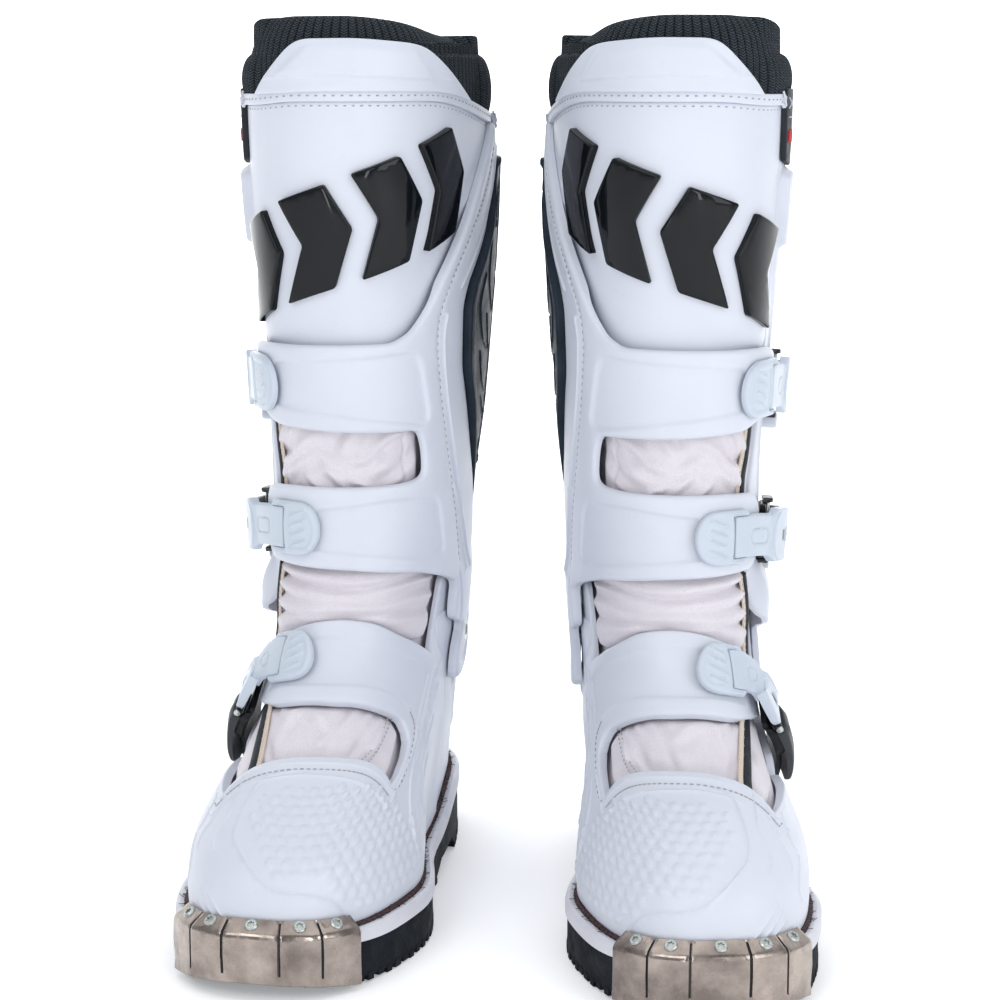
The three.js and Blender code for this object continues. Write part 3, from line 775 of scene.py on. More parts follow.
def ribbed_knit():
    """Charcoal rib knit: slanted threads that meet along the middle of each rib. The threads' crests are
    painted lighter as a painted highlight, and the valleys between the ribs are painted darker as painted
    shade.
    """
    n = Nodes("gaiter_knit", "gaiter_knit", 0.85, specular=0.12)
    a, z = n.skin_uv()
    across = n.math("PINGPONG", n.math("MULTIPLY", a, 1 / RIB), 0.5)
    slant = n.math("MULTIPLY", across, 1.9)
    phase = n.math("ADD", n.math("MULTIPLY", z, 0.8), slant)
    thread = n.math("ABSOLUTE", n.math("SINE", n.math("MULTIPLY", phase, math.pi)))
    # Painted shade: the colour darkens towards the valleys between the ribs.
    rib_valley_shade = n.spread(across, 0.0, 0.14)
    fuzz = n.noise(1500, 3)
    # Painted highlight on the threads' crests, times the painted shade of the rib valleys.
    painted_light_and_shade = n.math("MULTIPLY", n.spread(thread, 0.25, 0.95), rib_valley_shade)
    colour = n.mix(n.math("MULTIPLY", painted_light_and_shade, n.spread(fuzz, 0.35, 0.7, 0.35, 1.0)),
                   (0.006, 0.008, 0.010), (0.070, 0.088, 0.106))
    return n.finish(colour, None, [(fuzz, 0.3, 0.0003), (thread, 0.75, 0.0006)])


def woven(name, slot, light, dark, scale):
    """Plain cloth: a net of small raised threads."""
    n = Nodes(name, slot, 0.9, specular=0.2)
    net = n.cells(scale, "F1", 0.25)
    colour = n.mix(n.spread(net, 0.1, 0.6), light, dark)
    return n.finish(colour, None, [(net, 0.5, 0.0006)])


def rubber(name, slot, light, dark, rough, grain, specular=0.25):
    """Rubber with dusty specks and an uneven, fine-grained face."""
    n = Nodes(name, slot, rough[1], specular=specular)
    tone = n.spread(n.noise(40, 6), 0.3, 0.72)
    dust = n.spread(n.noise(900, 3), 0.62, 0.75)
    dusty = np.minimum(1, times(light, 1.7))
    colour = n.mix(n.math("MULTIPLY", dust, 0.5), n.mix(tone, dark, light), dusty)
    return n.finish(colour, n.spread(n.noise(120, 4), 0.3, 0.7, *rough),
                    [(n.noise(700, 5), grain, 0.0006), (n.noise(60, 3), 0.1, 0.002)])


def worn_steel():
    """Polished toe guard: its own warm tint, large light and dark patches in the colour that are painted
    reflections, dents, and long rubbed scratches.
    """
    n = Nodes("guard_steel", "guard_steel", 0.25, metallic=1.0)
    # Large patches between a light and a dark warm tint: painted reflections that stand for the dark mirror
    # images on the polished steel.
    tone = n.spread(n.noise(38, 5, 0.6), 0.36, 0.66)
    scratches = n.noise(300, 4, 0.7, stretch=(0.15, 1, 1.3))
    rubbed = n.spread(n.noise(110, 6, 0.65), 0.42, 0.6)
    colour = n.mix(tone, (0.46, 0.395, 0.35), (0.20, 0.165, 0.15))
    shine = n.math("ADD", n.spread(rubbed, 0, 1, 0.12, 0.34), n.spread(scratches, 0.4, 0.7, 0.0, 0.08))
    return n.finish(colour, shine, [(scratches, 0.05, 0.0004), (n.noise(34, 3), 0.5, 0.0024)])


def zinc(name, colour):
    """Plated hardware: small crystals and a satin shine."""
    n = Nodes(name, "hardware_steel", 0.34, metallic=1.0)
    crystal = n.cells(1200)
    return n.finish(n.mix(n.spread(crystal, 0.1, 0.7), colour, times(colour, 0.75)),
                    n.spread(n.noise(500, 3), 0.3, 0.7, 0.26, 0.44), [(n.noise(900, 3), 0.12, 0.0003)])


def lacquer():
    """Deep glossy black plates on the shin."""
    n = Nodes("plate_gloss", "buckle_black", 0.07, specular=0.16)
    n.shader.inputs["Coat Weight"].default_value = 0.22
    n.shader.inputs["Coat Roughness"].default_value = 0.03
    haze = n.spread(n.noise(180, 5), 0.35, 0.75, 0.05, 0.13)
    return n.finish((0.0035, 0.005, 0.007), haze, [(n.noise(55, 2), 0.16, 0.0014)])


def thread(name, slot, light, dark):
    """Twisted thread."""
    n = Nodes(name, slot, 0.8, specular=0.25)
    twist = n.noise(1800, 2)
    return n.finish(n.mix(n.spread(twist, 0.35, 0.65), light, dark), None, [(twist, 0.5, 0.0002)])


RIB = 4.6                # width of one rib of the collar's knit
MAT = {
    "shell": moulded("shell_white", "shell_white", (0.655, 0.685, 0.760), (0.618, 0.648, 0.730),
                     (0.34, 0.46), 0.35),
    "strap": moulded("strap_white", "strap_white", (0.555, 0.615, 0.695), (0.520, 0.580, 0.665),
                     (0.28, 0.40), 0.4),
    "black": moulded("buckle_black", "buckle_black", (0.012, 0.014, 0.017), (0.007, 0.008, 0.010),
                     (0.30, 0.42), 0.2),
    "lever": moulded("lever_grey", "buckle_black", (0.042, 0.044, 0.049), (0.030, 0.032, 0.036),
                     (0.34, 0.46), 0.25),
    "leather": leather("cream_leather", "cream_leather", (0.735, 0.700, 0.748), (0.680, 0.640, 0.690)),
    "knit": ribbed_knit(),
    "lining": woven("lining", "lining", (0.20, 0.21, 0.23), (0.08, 0.085, 0.095), 900),
    "edge_cream": woven("edge_cream", "cream_leather", (0.80, 0.72, 0.62), (0.62, 0.52, 0.43), 1300),
    "welt": rubber("welt_white", "welt_white", (0.690, 0.700, 0.750), (0.610, 0.610, 0.660),
                   (0.50, 0.62), 0.20),
    "sole": rubber("sole_rubber", "sole_rubber", (0.013, 0.017, 0.022), (0.006, 0.008, 0.011),
                   (0.60, 0.90), 0.70, 0.12),
    "shield": rubber("shield_rubber", "shield_rubber", (0.024, 0.036, 0.052), (0.012, 0.018, 0.027),
                     (0.40, 0.58), 0.12, 0.16),
    "piping": rubber("piping_black", "sole_rubber", (0.022, 0.027, 0.034), (0.010, 0.012, 0.016),
                     (0.45, 0.70), 0.40),
    "gloss": lacquer(),
    "steel": worn_steel(),
    "zinc": zinc("hardware_steel", (0.60, 0.64, 0.62)),
    "dark_zinc": zinc("catch_steel", (0.16, 0.17, 0.17)),
    "thread_white": thread("thread_white", "shell_white", (0.70, 0.72, 0.78), (0.52, 0.54, 0.62)),
    "thread_grey": thread("thread_grey", "shell_white", (0.46, 0.44, 0.47), (0.30, 0.28, 0.31)),
    "thread_dark": thread("thread_dark", "sole_rubber", (0.115, 0.068, 0.070), (0.022, 0.015, 0.017)),
    "tab_red": thread("tab_red", "gaiter_knit", (0.55, 0.03, 0.04), (0.35, 0.015, 0.02)),
}


# ---- leg: shells ----------------------------------------------------------------------------
# The calf shell's edges as [z, distance round the boot]: outwards from the front, and at the back.
CALF_FRONT = [(128, 104), (131, 96), (133, 82), (135, 68), (139, 59), (147, 53), (156, 50), (165, 47),
              (184, 44), (205, 45), (222, 51), (240, 57), (272, 64), (384, 66)]
CALF_BACK = [(128, 142), (160, 137), (170, 129.5), (183, 128.5), (300, 167), (384, 167)]
SHELL_TOP, SHELL_BOTTOM = -1.4, -4.6
BAND_TOP = 3.3
TOP_EDGE = 384.4         # height of the shells' top edge at the front
FLARE = 6.4              # how far the calf shell stands out, low down, over the bellows and heel cup
TAB_RADIUS = 19.5        # of the ankle tabs
DISC_RADIUS = 13.5       # of the sunk disc on each ankle tab
PIVOT_A = side_at(PIVOT_U, PIVOT_Z)


def arc(centre, radius, start, end, n=14):
    turns = np.radians(np.linspace(start, end, n))
    return [(centre[0] + radius * math.cos(t), centre[1] + radius * math.sin(t)) for t in turns]


def top_drop(a):
    """How far the shells' top edge dips towards the inner side."""
    inner = 11.5 * ease(55, 148, a) * fall(170, 238, a)
    return inner + 1.8 * fall(-42, -8, a) * ease(-140, -60, a)


def dipped(points):
    """Points as given, those near the top edge lowered by its dip."""
    return [(a, z - float(top_drop(a) * ease(TOP_EDGE - 40, TOP_EDGE, z))) for a, z in points]


def shin_plate():
    """White front plate, hollowed towards the band that crosses it."""
    outer = [(2 - knots(CALF_FRONT, z), z) for z in np.linspace(TOP_EDGE, 262, 24)]
    loop = outer + [(83, 262), (87, 296), (97, 308), (114, 348), (132, 371)]
    loop += [(a, TOP_EDGE) for a in range(142, -60, -8)]
    loop = dipped(loop)
    hollow = smooth_line([(-62, 268), (-35, 274), (-14, 284), (5, 292), (27, 300), (41, 306), (93, 334)])
    below = np.concatenate([hollow, [(130, 300), (120, 240), (-70, 240)]])
    top_dip = [(-70, 384), (-70, 400), (160, 400), (160, 384)]
    return plate(loop, leg_space, SHELL_TOP, SHELL_BOTTOM, 0.9,
                 [Field(below, -2.2, 17), Field(top_dip, -0.5, 5)], spacing=3.4)


def sunk_disc(a):
    return Field(arc((a, PIVOT_Z), DISC_RADIUS, 0, 345, 24), -0.9, 1.6)


def calf_shell():
    """Outer and rear shell, which ends in the outer ankle tab."""
    heights = np.linspace(383, 128, 60)
    front = [(-knots(CALF_FRONT, z), z) for z in heights if z >= 133.5]
    tab = arc((-PIVOT_A, PIVOT_Z), TAB_RADIUS, 20, -205)
    back = [(knots(CALF_BACK, z) - 2 * skin.half_girth(z), z) for z in heights[::-1] if z < 368]
    turn = 2 * float(skin.half_girth(380))
    over = [(a, 383 - float(top_drop(a + turn if a < -turn / 2 else a)))
            for a in np.linspace(167.4 - turn, -66, 60)]
    loop = np.array(front[1:] + tab + [(-PIVOT_A - 26, 129)] + back + over)

    def lift(flat):
        a, z = flat[:, 0], flat[:, 1]
        return (FLARE + 2.2 * ease(-94, -78, a)) * fall(148, 174, z) * fall(-62, -50, a)

    def top(flat):
        return SHELL_TOP + lift(flat)

    def bottom(flat):
        return SHELL_BOTTOM + lift(flat)

    side = [(-68, 349), (-75, 354), (-118, 354), (-134, 330), (-150, 270), (-144, 214), (-128, 196),
            (-104, 206), (-96, 240), (-84, 282), (-68, 298)]
    rear = [(-190, 366), (-250, 366), (-258, 250), (-236, 182), (-206, 182), (-186, 250)]
    boss = [(-67.5, 350), (-80, 353), (-104, 349), (-110, 333), (-92, 316), (-68, 317)]
    relief = [Field(rounded(side, 7), 1.6, 4), Field(rounded(boss, 4), 3.4, 3),
              Field(rounded(rear, 12), 1.4, 5), sunk_disc(-PIVOT_A),
              Line([(-72, 375), (-160, 375), (-230, 375), (-284, 364)], 2.4, -0.8),
              Line(smooth_line([(-92, 150), (-78, 168), (-66, 186), (-62, 214), (-70, 250)]), 2.6, 0.9)]
    relief += [Line([(-205, z), (-222, z - 9), (-239, z)], 3.2, -1.0) for z in range(214, 352, 17)]
    return plate(loop, leg_space, top, bottom, 1.1, relief, spacing=4.4)


SHIELD_EDGE = [(120, 176), (99, 229), (88.5, 256), (88, 286), (94, 297), (119, 320), (133, 340),
               (139, 356.5)]


def cuff_outline():
    """Round the upper band, down the strip and its ankle tab, along the lower band and the opening."""
    band_top = [(-68, 266), (-57, 270.5), (-30, 271.5), (0, 272), (31, 272.5), (41, 277), (51, 286.5),
                (64, 301.5), (86, 323), (110, 348), (138, TOP_EDGE)]
    yoke = [(152, TOP_EDGE), (166, TOP_EDGE), (166, 358.4), (141, 358)]
    beside_shield = [(a - 2.2, z) for a, z in SHIELD_EDGE[::-1][1:]]
    ankle = [(117.5, 174), (133, 158), (PIVOT_A + 19, 140)]
    ankle += arc((PIVOT_A, PIVOT_Z), TAB_RADIUS, 20, -190)
    low = [(PIVOT_A - 22, 126), (91, 131), (87.5, 138), (86, 149), (76, 153), (64, 156), (45, 160.5),
           (10, 164.5), (-20, 165.5), (-40, 166), (-47, 172), (-47, 195)]
    opening = [(-40, 202.5), (-20, 204), (30, 204.5), (43, 205.5), (48.5, 208), (48.5, 217), (46.5, 226),
               (43.5, 229.6), (0, 231), (-30, 233), (-50, 239), (-62, 244), (-68, 252)]
    before_ankle = dipped(band_top + yoke) + beside_shield
    loop = np.array(before_ankle + ankle + low + opening)
    radii = np.full(len(loop), 4.0)
    radii[len(before_ankle) + 3:len(before_ankle) + len(ankle)] = 0
    radii[len(band_top) - 1:len(band_top) + 4] = 1.0
    return rounded(loop, radii)


def cuff_relief():
    """Sunk panels on the bands, and the strip's ridges, grooves and seam."""
    panels = [[(-30, 262.5), (8, 265.5), (41, 268), (46, 264), (52.5, 235), (46, 232), (7, 238.5),
               (-32, 243)],
              [(-8, 193), (26, 197.5), (56, 196.5), (61, 192), (69, 167), (62, 164.5), (17, 171.5),
               (-10, 174)]]
    ridges = [[(67, 284), (64, 272), (66, 252), (70, 234), (78, 207), (87, 180)],
              [(74, 200), (82, 186), (97, 154)], [(81, 199), (90, 178), (105, 154)],
              [(87, 153), (95, 140), (102, 127)], [(71, 300), (95, 323), (119, 347), (150, 383)],
              [(82, 296), (104, 316), (127, 340), (142, 362)]]
    relief = [Field(rounded(p, 4), -1.4, 2.2) for p in panels]
    relief += [Line(smooth_line(line), 2.6, height) for line, height in
               zip(ridges, (0.9, 0.8, 0.8, -0.9, -0.7, 0.7))]
    return relief + [Line(STRIP_SEAM, 1.8, -0.45), sunk_disc(PIVOT_A)]


def cuff_frame():
    """Two bands over the shin, and the strip on the inner side that joins them."""
    def top(flat):
        return BAND_TOP + 1.6 * fall(150, 164, flat[:, 1]) - 1.2 * ease(356, 384, flat[:, 1])

    def bottom(flat):
        return 0.2 - 1.4 * ease(290, 300, flat[:, 1])

    return plate(cuff_outline(), leg_space, top, bottom, 2.0, cuff_relief(), spacing=3.6)


STRIP_SEAM = smooth_line([(133, 362), (118, 343), (93, 321), (75, 303), (62, 286), (59, 271), (61, 253),
                          (64, 236), (72, 204), (80, 181), (88, 159)])


def heat_shield():
    """Dark rubber plate on the inner calf, with a raised border and embossed curls."""
    rear = [(164.5, 356.5), (164.5, 300), (127, 184)]
    loop = rounded(np.array(SHIELD_EDGE + rear), 3)
    border = resampled(loop, OUTLINE_STEP)
    middle = border.mean(0)
    inner = middle + (border - middle) * [0.82, 0.95]
    curls = [[(112, 300), (104, 285), (110, 268), (122, 262), (116, 280)],
             [(122, 316), (119, 296), (130, 280), (141, 296)],
             [(106, 262), (112, 246), (124, 240), (132, 252), (124, 264)],
             [(134, 322), (137, 340), (149, 348)], [(141, 300), (152, 318), (156, 342)],
             [(112, 238), (120, 228), (133, 232), (140, 250)]]
    relief = [Field(inner, -1.3, 2.4)]
    relief += [Line(smooth_line(c), 1.5, 0.65) for c in curls]
    for k in range(6):
        centre = (123.5 + 5.4 * (k % 2) + k * 0.2, 196 + 8.0 * k)
        relief.append(Line(arc(centre, 3.2, 0, 330, 12), 1.3, 0.6, closed=True))

    def top(flat):
        return 2.8 + 3.4 * ease(180, 236, flat[:, 1])

    return plate(loop, leg_space, top, -4.0, 1.2, relief, spacing=2.6)


# The row of slanted arrowheads across the shin, from its lower outer to its upper inner end.
BADGE_START, BADGE_END = np.array([-59.0, 302.0]), np.array([87.0, 351.0])
BADGE_COUNT = 4


def badge_plate(k):
    """One arrowhead: drawn upright, then sheared along the row."""
    run = BADGE_END - BADGE_START
    length = float(np.linalg.norm(run))
    pitch = length / BADGE_COUNT
    width, tip, tall = pitch * 0.66, pitch * 0.30, 47 + k
    half = tall / 2
    drawn = [(0, -half), (width, -half), (width + tip, 0), (width, half), (0, half), (tip, 0)]
    up = np.array([-0.08, 1.0])
    along = run / length
    start = BADGE_START + along * (k + 0.04) * pitch
    loop = np.array([start + along * x + up * y for x, y in drawn])
    return plate(rounded(loop, 1.6), leg_space, 1.9, -3.4, 1.1, spacing=3.0)


def top_guard():
    """Upright white guard in front of the collar, creased across its middle."""
    loop = [(-35, 387.4), (-30, 393), (-13, 409.5), (-7, 412.3), (17, 412.6), (46, 410.3), (55, 407.5),
            (72, 397.5), (93, 383.8), (80, 386.6), (60, 388.4), (0, 388.8)]
    facet = [(-19, 396.6), (-5, 409), (14, 410), (45, 407.5), (57, 394.2), (30, 395.2)]
    loop = rounded(loop, [1, 3, 5, 5, 8, 8, 8, 6, 1, 3, 3, 3])
    relief = [Field(facet, 1.5, 3.6), Line([(-27, 395), (10, 396.4), (70, 393.5)], 2.0, 0.35)]
    return plate(loop, leg_space, 3.2, 0.7, 0.8, relief, spacing=2.6)


def seam_row(height, start, end):
    """A line along the top seam, which dips with the shells' edge."""
    return [(a, height - float(top_drop(a))) for a in np.linspace(start, end, 40)]


def top_seam():
    """Folded edge over the top of the shells."""
    loop = seam_row(384.2, -61, 168) + seam_row(389.4, 168, -61)
    return plate(np.array(loop), leg_space, 0.8, -1.9, 0.7, spacing=2.4)


def stitches(line, off, pitch, size, space=leg_space):
    """Thread grains along a flat line. size is half a grain's length, width and height."""
    flat, ways = spaced(line, pitch)
    middle = space(flat, off)
    ahead = space(flat + unit(ways) * 0.5, off)
    normals = space(flat, off + 1.0) - middle
    return beads(middle, ahead - middle, normals, *size)


def shell_threads():
    rows = [stitches(seam_row(386.9, -59, 166), 0.82, 4.0, (0.75, 0.38, 0.3)),
            stitches(seam_row(382.2, -58, 137), -1.5, 4.0, (0.75, 0.38, 0.3)),
            stitches(STRIP_SEAM, 3.0, 3.6, (0.8, 0.4, 0.34))]
    return joined(*rows)


def knot(a, z, off, seed):
    """A tied-off end of the seam's thread."""
    rng = np.random.default_rng(seed)
    strands = []
    for k in range(6):
        path = [np.array([a, z, off]) + rng.normal(0, 1.0, 3) * [2.6, 2.0, 0.9] for _ in range(4)]
        path = smooth_line(path, steps=5)
        points = wrap(path[:, 0], path[:, 1], np.clip(path[:, 2], off - 0.6, off + 2.6))
        strands.append(sweep(points, ring(0.55, 6), normal_at(path[:, 0], path[:, 1])))
    return joined(*strands)


build("shin_plate_skin", shin_plate(), MAT["shell"], "leg", ["shin_plate"])
build("calf_shell_skin", calf_shell(), MAT["shell"], "leg", ["calf_shell"])
build("cuff_frame_skin", cuff_frame(), MAT["shell"], "leg", ["cuff_frame"])
build("heat_shield_skin", heat_shield(), MAT["shield"], "leg", ["heat_shield"])
build("top_guard_skin", top_guard(), MAT["shell"], "leg", ["top_guard"])
build("top_seam", top_seam(), MAT["shell"], "leg")
build("shell_threads", shell_threads(), MAT["thread_grey"], "leg")
build("thread_knots", joined(knot(-57, 384, 0.8, 5), knot(146, 375, 1.8, 8)), MAT["thread_white"], "leg")
for number in range(BADGE_COUNT):
    build(f"shin_arrow_{number + 1}", badge_plate(number), MAT["gloss"], "leg", sharp=math.radians(50))


# ---- sole -----------------------------------------------------------------------------------
WAIST = (74, 130)        # the part of the sole's length that has no teeth
TREAD_FOOT = 2.6         # height of the slab's underside over the floor
ARCH_HEIGHT = 10         # and of its arch


def spring(u):
    """How far the sole rises towards the toe."""
    return 7 * (np.maximum(0, u - 250) / 48) ** 2


def heel_rise(u):
    return 10 * (1 - ease(70, 150, u))


def tread_top(u):
    return 19 + heel_rise(u) + 0.8 * spring(u)


def welt_top(u):
    return 26 + heel_rise(u) + 0.4 * spring(u)


def foot_edge(f):
    """Height of the upper's lower edge at the share f of the girth."""
    u = SHAFT_CENTRE - wrap(f * skin.half_girth(30), 30)[..., 1]
    return welt_top(u) + GAP


def along_sole(shares):
    """The upper's lower edge as [a, z], at shares of the girth."""
    low = foot_edge(shares)
    return list(zip(shares * skin.half_girth(low), low))


def plan(flat, off):
    """The sole is drawn from above, as x and the distance u in front of the heel."""
    return np.stack([flat[:, 0], SHAFT_CENTRE - flat[:, 1], np.broadcast_to(off, len(flat))], axis=1)


def rim(outline, inset, low=-180, high=180, n=240):
    """The sole's outline from above, drawn in by inset."""
    phi = np.radians(np.linspace(low, high, n + 1))
    x, u = outline_at(outline, phi)
    x1, u1 = outline_at(outline, phi + 1e-3)
    normal = np.stack([u1 - u, x - x1], axis=1)
    normal /= np.maximum(np.linalg.norm(normal, axis=1, keepdims=True), 1e-9)
    line = np.stack([x, u], axis=1) + normal * inset
    return line[:-1] if high - low >= 360 else line


def outsole():
    """Rubber sole: a slab, a row of small teeth round its rim and bars across it."""
    slab = rim(TREAD, 0.6)

    def under(flat):
        u = flat[:, 1]
        arch = knots([(72, TREAD_FOOT), (84, ARCH_HEIGHT), (120, ARCH_HEIGHT), (134, TREAD_FOOT)], u)
        return arch + spring(u)

    parts = [plate(slab, plan, lambda flat: tread_top(flat[:, 1]), under, 0.8, spacing=9)]
    line = resampled(rim(TREAD, 0.3), 0.5)
    rng = np.random.default_rng(11)
    for start in np.arange(0, len(line) - 12, 15):
        tooth = line[start:start + int(rng.integers(9, 13))]
        u = tooth[:, 1].mean()
        if WAIST[0] < u < WAIST[1]:
            continue
        inner = lerp(tooth, np.array([0, np.clip(u, 40, 250)]), 0.20)
        loop = np.concatenate([tooth, inner[::-1]])
        foot = float(spring(u)) + rng.uniform(0, 1.1)
        parts.append(plate(loop, plan, float(spring(u)) + 4.2, foot, 0.5, spacing=6))
    for u in [16, 33, 50] + list(range(146, 262, 17)):
        half = float(np.interp(u, [16, 50, 146, 215, 250], [15, 20, 26, 36, 28]))
        bar = [(-half, u - 4), (0, u + 2), (half, u - 4), (half, u + 4), (0, u + 10), (-half, u + 4)]
        foot = float(spring(u)) + 0.3
        parts.append(plate(rounded(bar, 1.5), plan, foot + 5, foot, 0.5, spacing=7))
    return joined(*parts)


def midsole():
    """White welt with a groove along its ledge."""
    loop = rim(WELT, 0.4)
    relief = [Line(rim(WELT, 5.6), 2.6, -1.0, closed=True), Line(rim(WELT, 2.6), 1.4, 0.25, closed=True)]
    return plate(loop, plan, lambda flat: welt_top(flat[:, 1]),
                 lambda flat: tread_top(flat[:, 1]) + GAP, 2.0, relief, spacing=9)


def welt_stitches():
    """Thick dark lock stitches round the ledge, with frayed fibres standing out of them."""
    rng = np.random.default_rng(3)
    parts = []
    for low, high in ((34, 176), (-176, -44)):
        line = rim(WELT, 6.0, low, high, 200)
        flat, ways = spaced(line, 3.6)
        points = plan(flat, welt_top(flat[:, 1]) + 0.35)
        along = np.column_stack([ways[:, 0], -ways[:, 1], rng.normal(0, 0.10, len(ways))])
        up = np.broadcast_to([0.0, 0.0, 1.0], points.shape)
        turned = along + np.column_stack([-along[:, 1], along[:, 0], 0 * along[:, 2]]) * 0.35
        parts.append(beads(points, turned, up, 2.5, 1.5, 1.15))
        for point in points:
            for _ in range(3):
                lean = rng.normal(0, 1.0, 3) * [1.7, 1.7, 0.35] + [0, 0, 0.55]
                path = np.array([point, point + lean * 0.6, point + lean * 1.1 + rng.normal(0, 0.35, 3)])
                parts.append(sweep(path, ring(0.17, 3), np.broadcast_to([0.3, 0.9, 0.2], (3, 3))))
    return joined(*parts)


GUARD_FACETS = 5
GUARD_EDGES = np.radians(np.linspace(-37, 36, GUARD_FACETS + 1))     # angles round the toe


def guard_top(phi):
    """Height of the guard's bend into its flange."""
    return float(welt_top(float(outline_at(WELT, phi)[1]))) + GAP + 1.5


def guard_at(phi, out, z):
    """A place on the toe guard: angle round the toe, distance outside the welt, height."""
    edges = GUARD_EDGES
    k = int(np.clip(np.searchsorted(edges, phi) - 1, 0, GUARD_FACETS - 1))
    t = (phi - edges[k]) / (edges[k + 1] - edges[k])

    def rim_at(angle):
        x, u = outline_at(WELT, angle)
        x1, u1 = outline_at(WELT, angle + 1e-3)
        normal = np.array([u - u1, x1 - x]) / math.hypot(u - u1, x1 - x)
        return np.array([float(x), float(u)]), normal

    point, normal = rim_at(phi)
    (first, _), (last, _) = rim_at(edges[k]), rim_at(edges[k + 1])
    flat = lerp(lerp(first, last, t), point, 0.5) + normal * 0.35
    x, u = flat + normal * out
    return np.array([x, SHAFT_CENTRE - u, z])


def toe_guard():
    """Steel guard in five facets: a wall before the toe, bent over into a flange, with slits."""
    edges = GUARD_EDGES
    slit = math.radians(0.45)
    angles, depths = [], []
    for k in range(GUARD_FACETS):
        for t in (0, 0.04, 0.1, 0.25, 0.4, 0.5, 0.6, 0.75, 0.9, 0.96, 1):
            low = edges[k] + (slit if k else 0)
            high = edges[k + 1] - (slit if k < GUARD_FACETS - 1 else 0)
            angles.append(lerp(low, high, t))
            depths.append(0.25 if t in (0, 1) else 0.0)
        if k < GUARD_FACETS - 1:
            angles += [edges[k + 1] - slit * 0.8, edges[k + 1] + slit * 0.8]
            depths += [1.15, 1.15]
    rows = []
    for phi, depth in zip(angles, depths):
        low, top = float(spring(outline_at(WELT, phi)[1])) + 0.6, guard_top(phi)
        wobble = 0.16 * math.sin(phi * 61) + 0.12 * math.sin(phi * 23 + 1)
        # distance outside the welt, height, and whether the slit is cut there
        section = [(1.1, low, 0), (1.85, low + 0.7, 0), (1.95 + wobble, low + 4, 0),
                   (1.95 + wobble, low + 5, 1), (2.0 - wobble, lerp(low, top, 0.55), 1),
                   (1.95, top - 3.6, 1), (1.8, top - 2.0, 1), (1.3, top - 0.9, 1), (0.4, top + 0.1, 1),
                   (-2.4, top + 2.2, 1), (-5.0, top + 4.1, 1), (-5.5, top + 4.0, 0),
                   (-5.5, top + 3.2, 0), (-0.4, top - 0.8, 0), (0.5, top - 2.4, 0), (0.5, low + 0.3, 0)]
        row = []
        for out, z, grooved in section:
            sink = depth * grooved
            on_wall = out > 0.8
            row.append(guard_at(phi, out - sink, z) if on_wall else guard_at(phi, out, z - sink))
        rows.append(row)
    return capped(np.array(rows))


def guard_slit_shade():
    """Dark strips in the guard's slits: painted shade that stands for the shadow deep in the slits."""
    parts = []
    for phi in GUARD_EDGES[1:-1]:
        low, top = float(spring(outline_at(WELT, phi)[1])) + 5.2, guard_top(phi)
        path = [guard_at(phi, 1.15, low), guard_at(phi, 1.2, top - 3.4), guard_at(phi, 0.9, top - 1.7),
                guard_at(phi, 0.0, top - 0.7), guard_at(phi, -4.7, top + 2.9)]
        path = smooth_line(path, steps=4)
        side = guard_at(phi, 4, 10) - guard_at(phi, 0, 10)
        parts.append(sweep(path, ring(0.42, 6), np.broadcast_to(np.cross(side, [0, 0, 1.0]), path.shape)))
    return joined(*parts)


def star_screw(centre, axis, radius, height):
    """Countersunk screw head with a six-lobed socket."""
    head = [(radius * 0.9, -0.6), (radius, 0.0), (radius * 0.97, height * 0.55), (radius * 0.8, height),
            (radius * 0.55, height * 1.02)]
    socket = [(radius * 0.50, height * 0.98), (radius * 0.46, height * 0.2), (radius * 0.05, height * 0.1)]
    made = lathe(head + socket, centre, axis, 36)
    start = len(head) * 36
    middle = np.asarray(centre)
    along = unit(np.asarray(axis, float))
    lobes = 1 + 0.22 * np.cos(np.arange(36) / 36 * 12 * math.pi)
    for k in range(2):
        part = slice(start + 36 * k, start + 36 * (k + 1))
        off = made.points[part] - middle
        level = off @ along
        flat = off - level[:, None] * along
        made.points[part] = middle + flat * lobes[:, None] + level[:, None] * along
    return made


def guard_screws():
    parts = []
    for phi in (GUARD_EDGES[:-1] + GUARD_EDGES[1:]) / 2:
        centre = guard_at(phi, -2.5, guard_top(phi) + 2.2)
        outward = guard_at(phi, 1, 30) - guard_at(phi, 0, 30)
        parts.append(star_screw(centre, np.array([0, 0, 1.0]) + outward * 0.75, 3.0, 1.0))
    return joined(*parts)


# ---- foot: shells ---------------------------------------------------------------------------
def toe_top(a):
    """Height of the toe's upper edge."""
    return np.maximum(73, 90 - np.where(a < 6, 0.0068, 0.0042) * (a - 6) ** 2)


# Edges of the band over the instep, as [a, z].
INSTEP_LOW = [(-62, 99), (-45, 101.5), (-28, 104.5), (-7, 108.5), (10, 108.5), (26, 106), (55, 97),
              (68, 90.5)]
INSTEP_TOP = [(-62, 119), (-46, 126), (-30, 133), (-13, 139.5), (-2, 142), (10, 142.5), (25, 139.5),
              (43, 132), (62, 125), (80, 118), (86, 115.5)]


def foot_line(points, width, height):
    return Line(on_foot(smooth_line(points)), width, height)


def toe_outline():
    """From the sole up the inner side, along the band over the instep, and round its window."""
    shares = np.linspace(-side_at(172, 30), side_at(112, 30), 90) / skin.half_girth(30)
    inner = [(side_at(112, z), z) for z in np.linspace(40, 112, 20)]
    upright = [(90, 119), (91.5, 128), (99, 134), (99, 150), (96, 154), (82, 154), (79, 150), (79, 124)]
    top = np.concatenate([upright, smooth_line(INSTEP_TOP)[::-1][8:]])
    window_top = smooth_line(INSTEP_LOW)
    window_end = [(73, 86.5), (74, 82), (71, 77)]
    toe = [(a, float(toe_top(a))) for a in np.linspace(66, -78, 60)]
    outer = [(-side_at(172, z), z) for z in np.linspace(72, 40, 10)]
    parts = [along_sole(shares), inner, top, window_top, window_end, toe, outer]
    return on_foot(np.concatenate(parts))


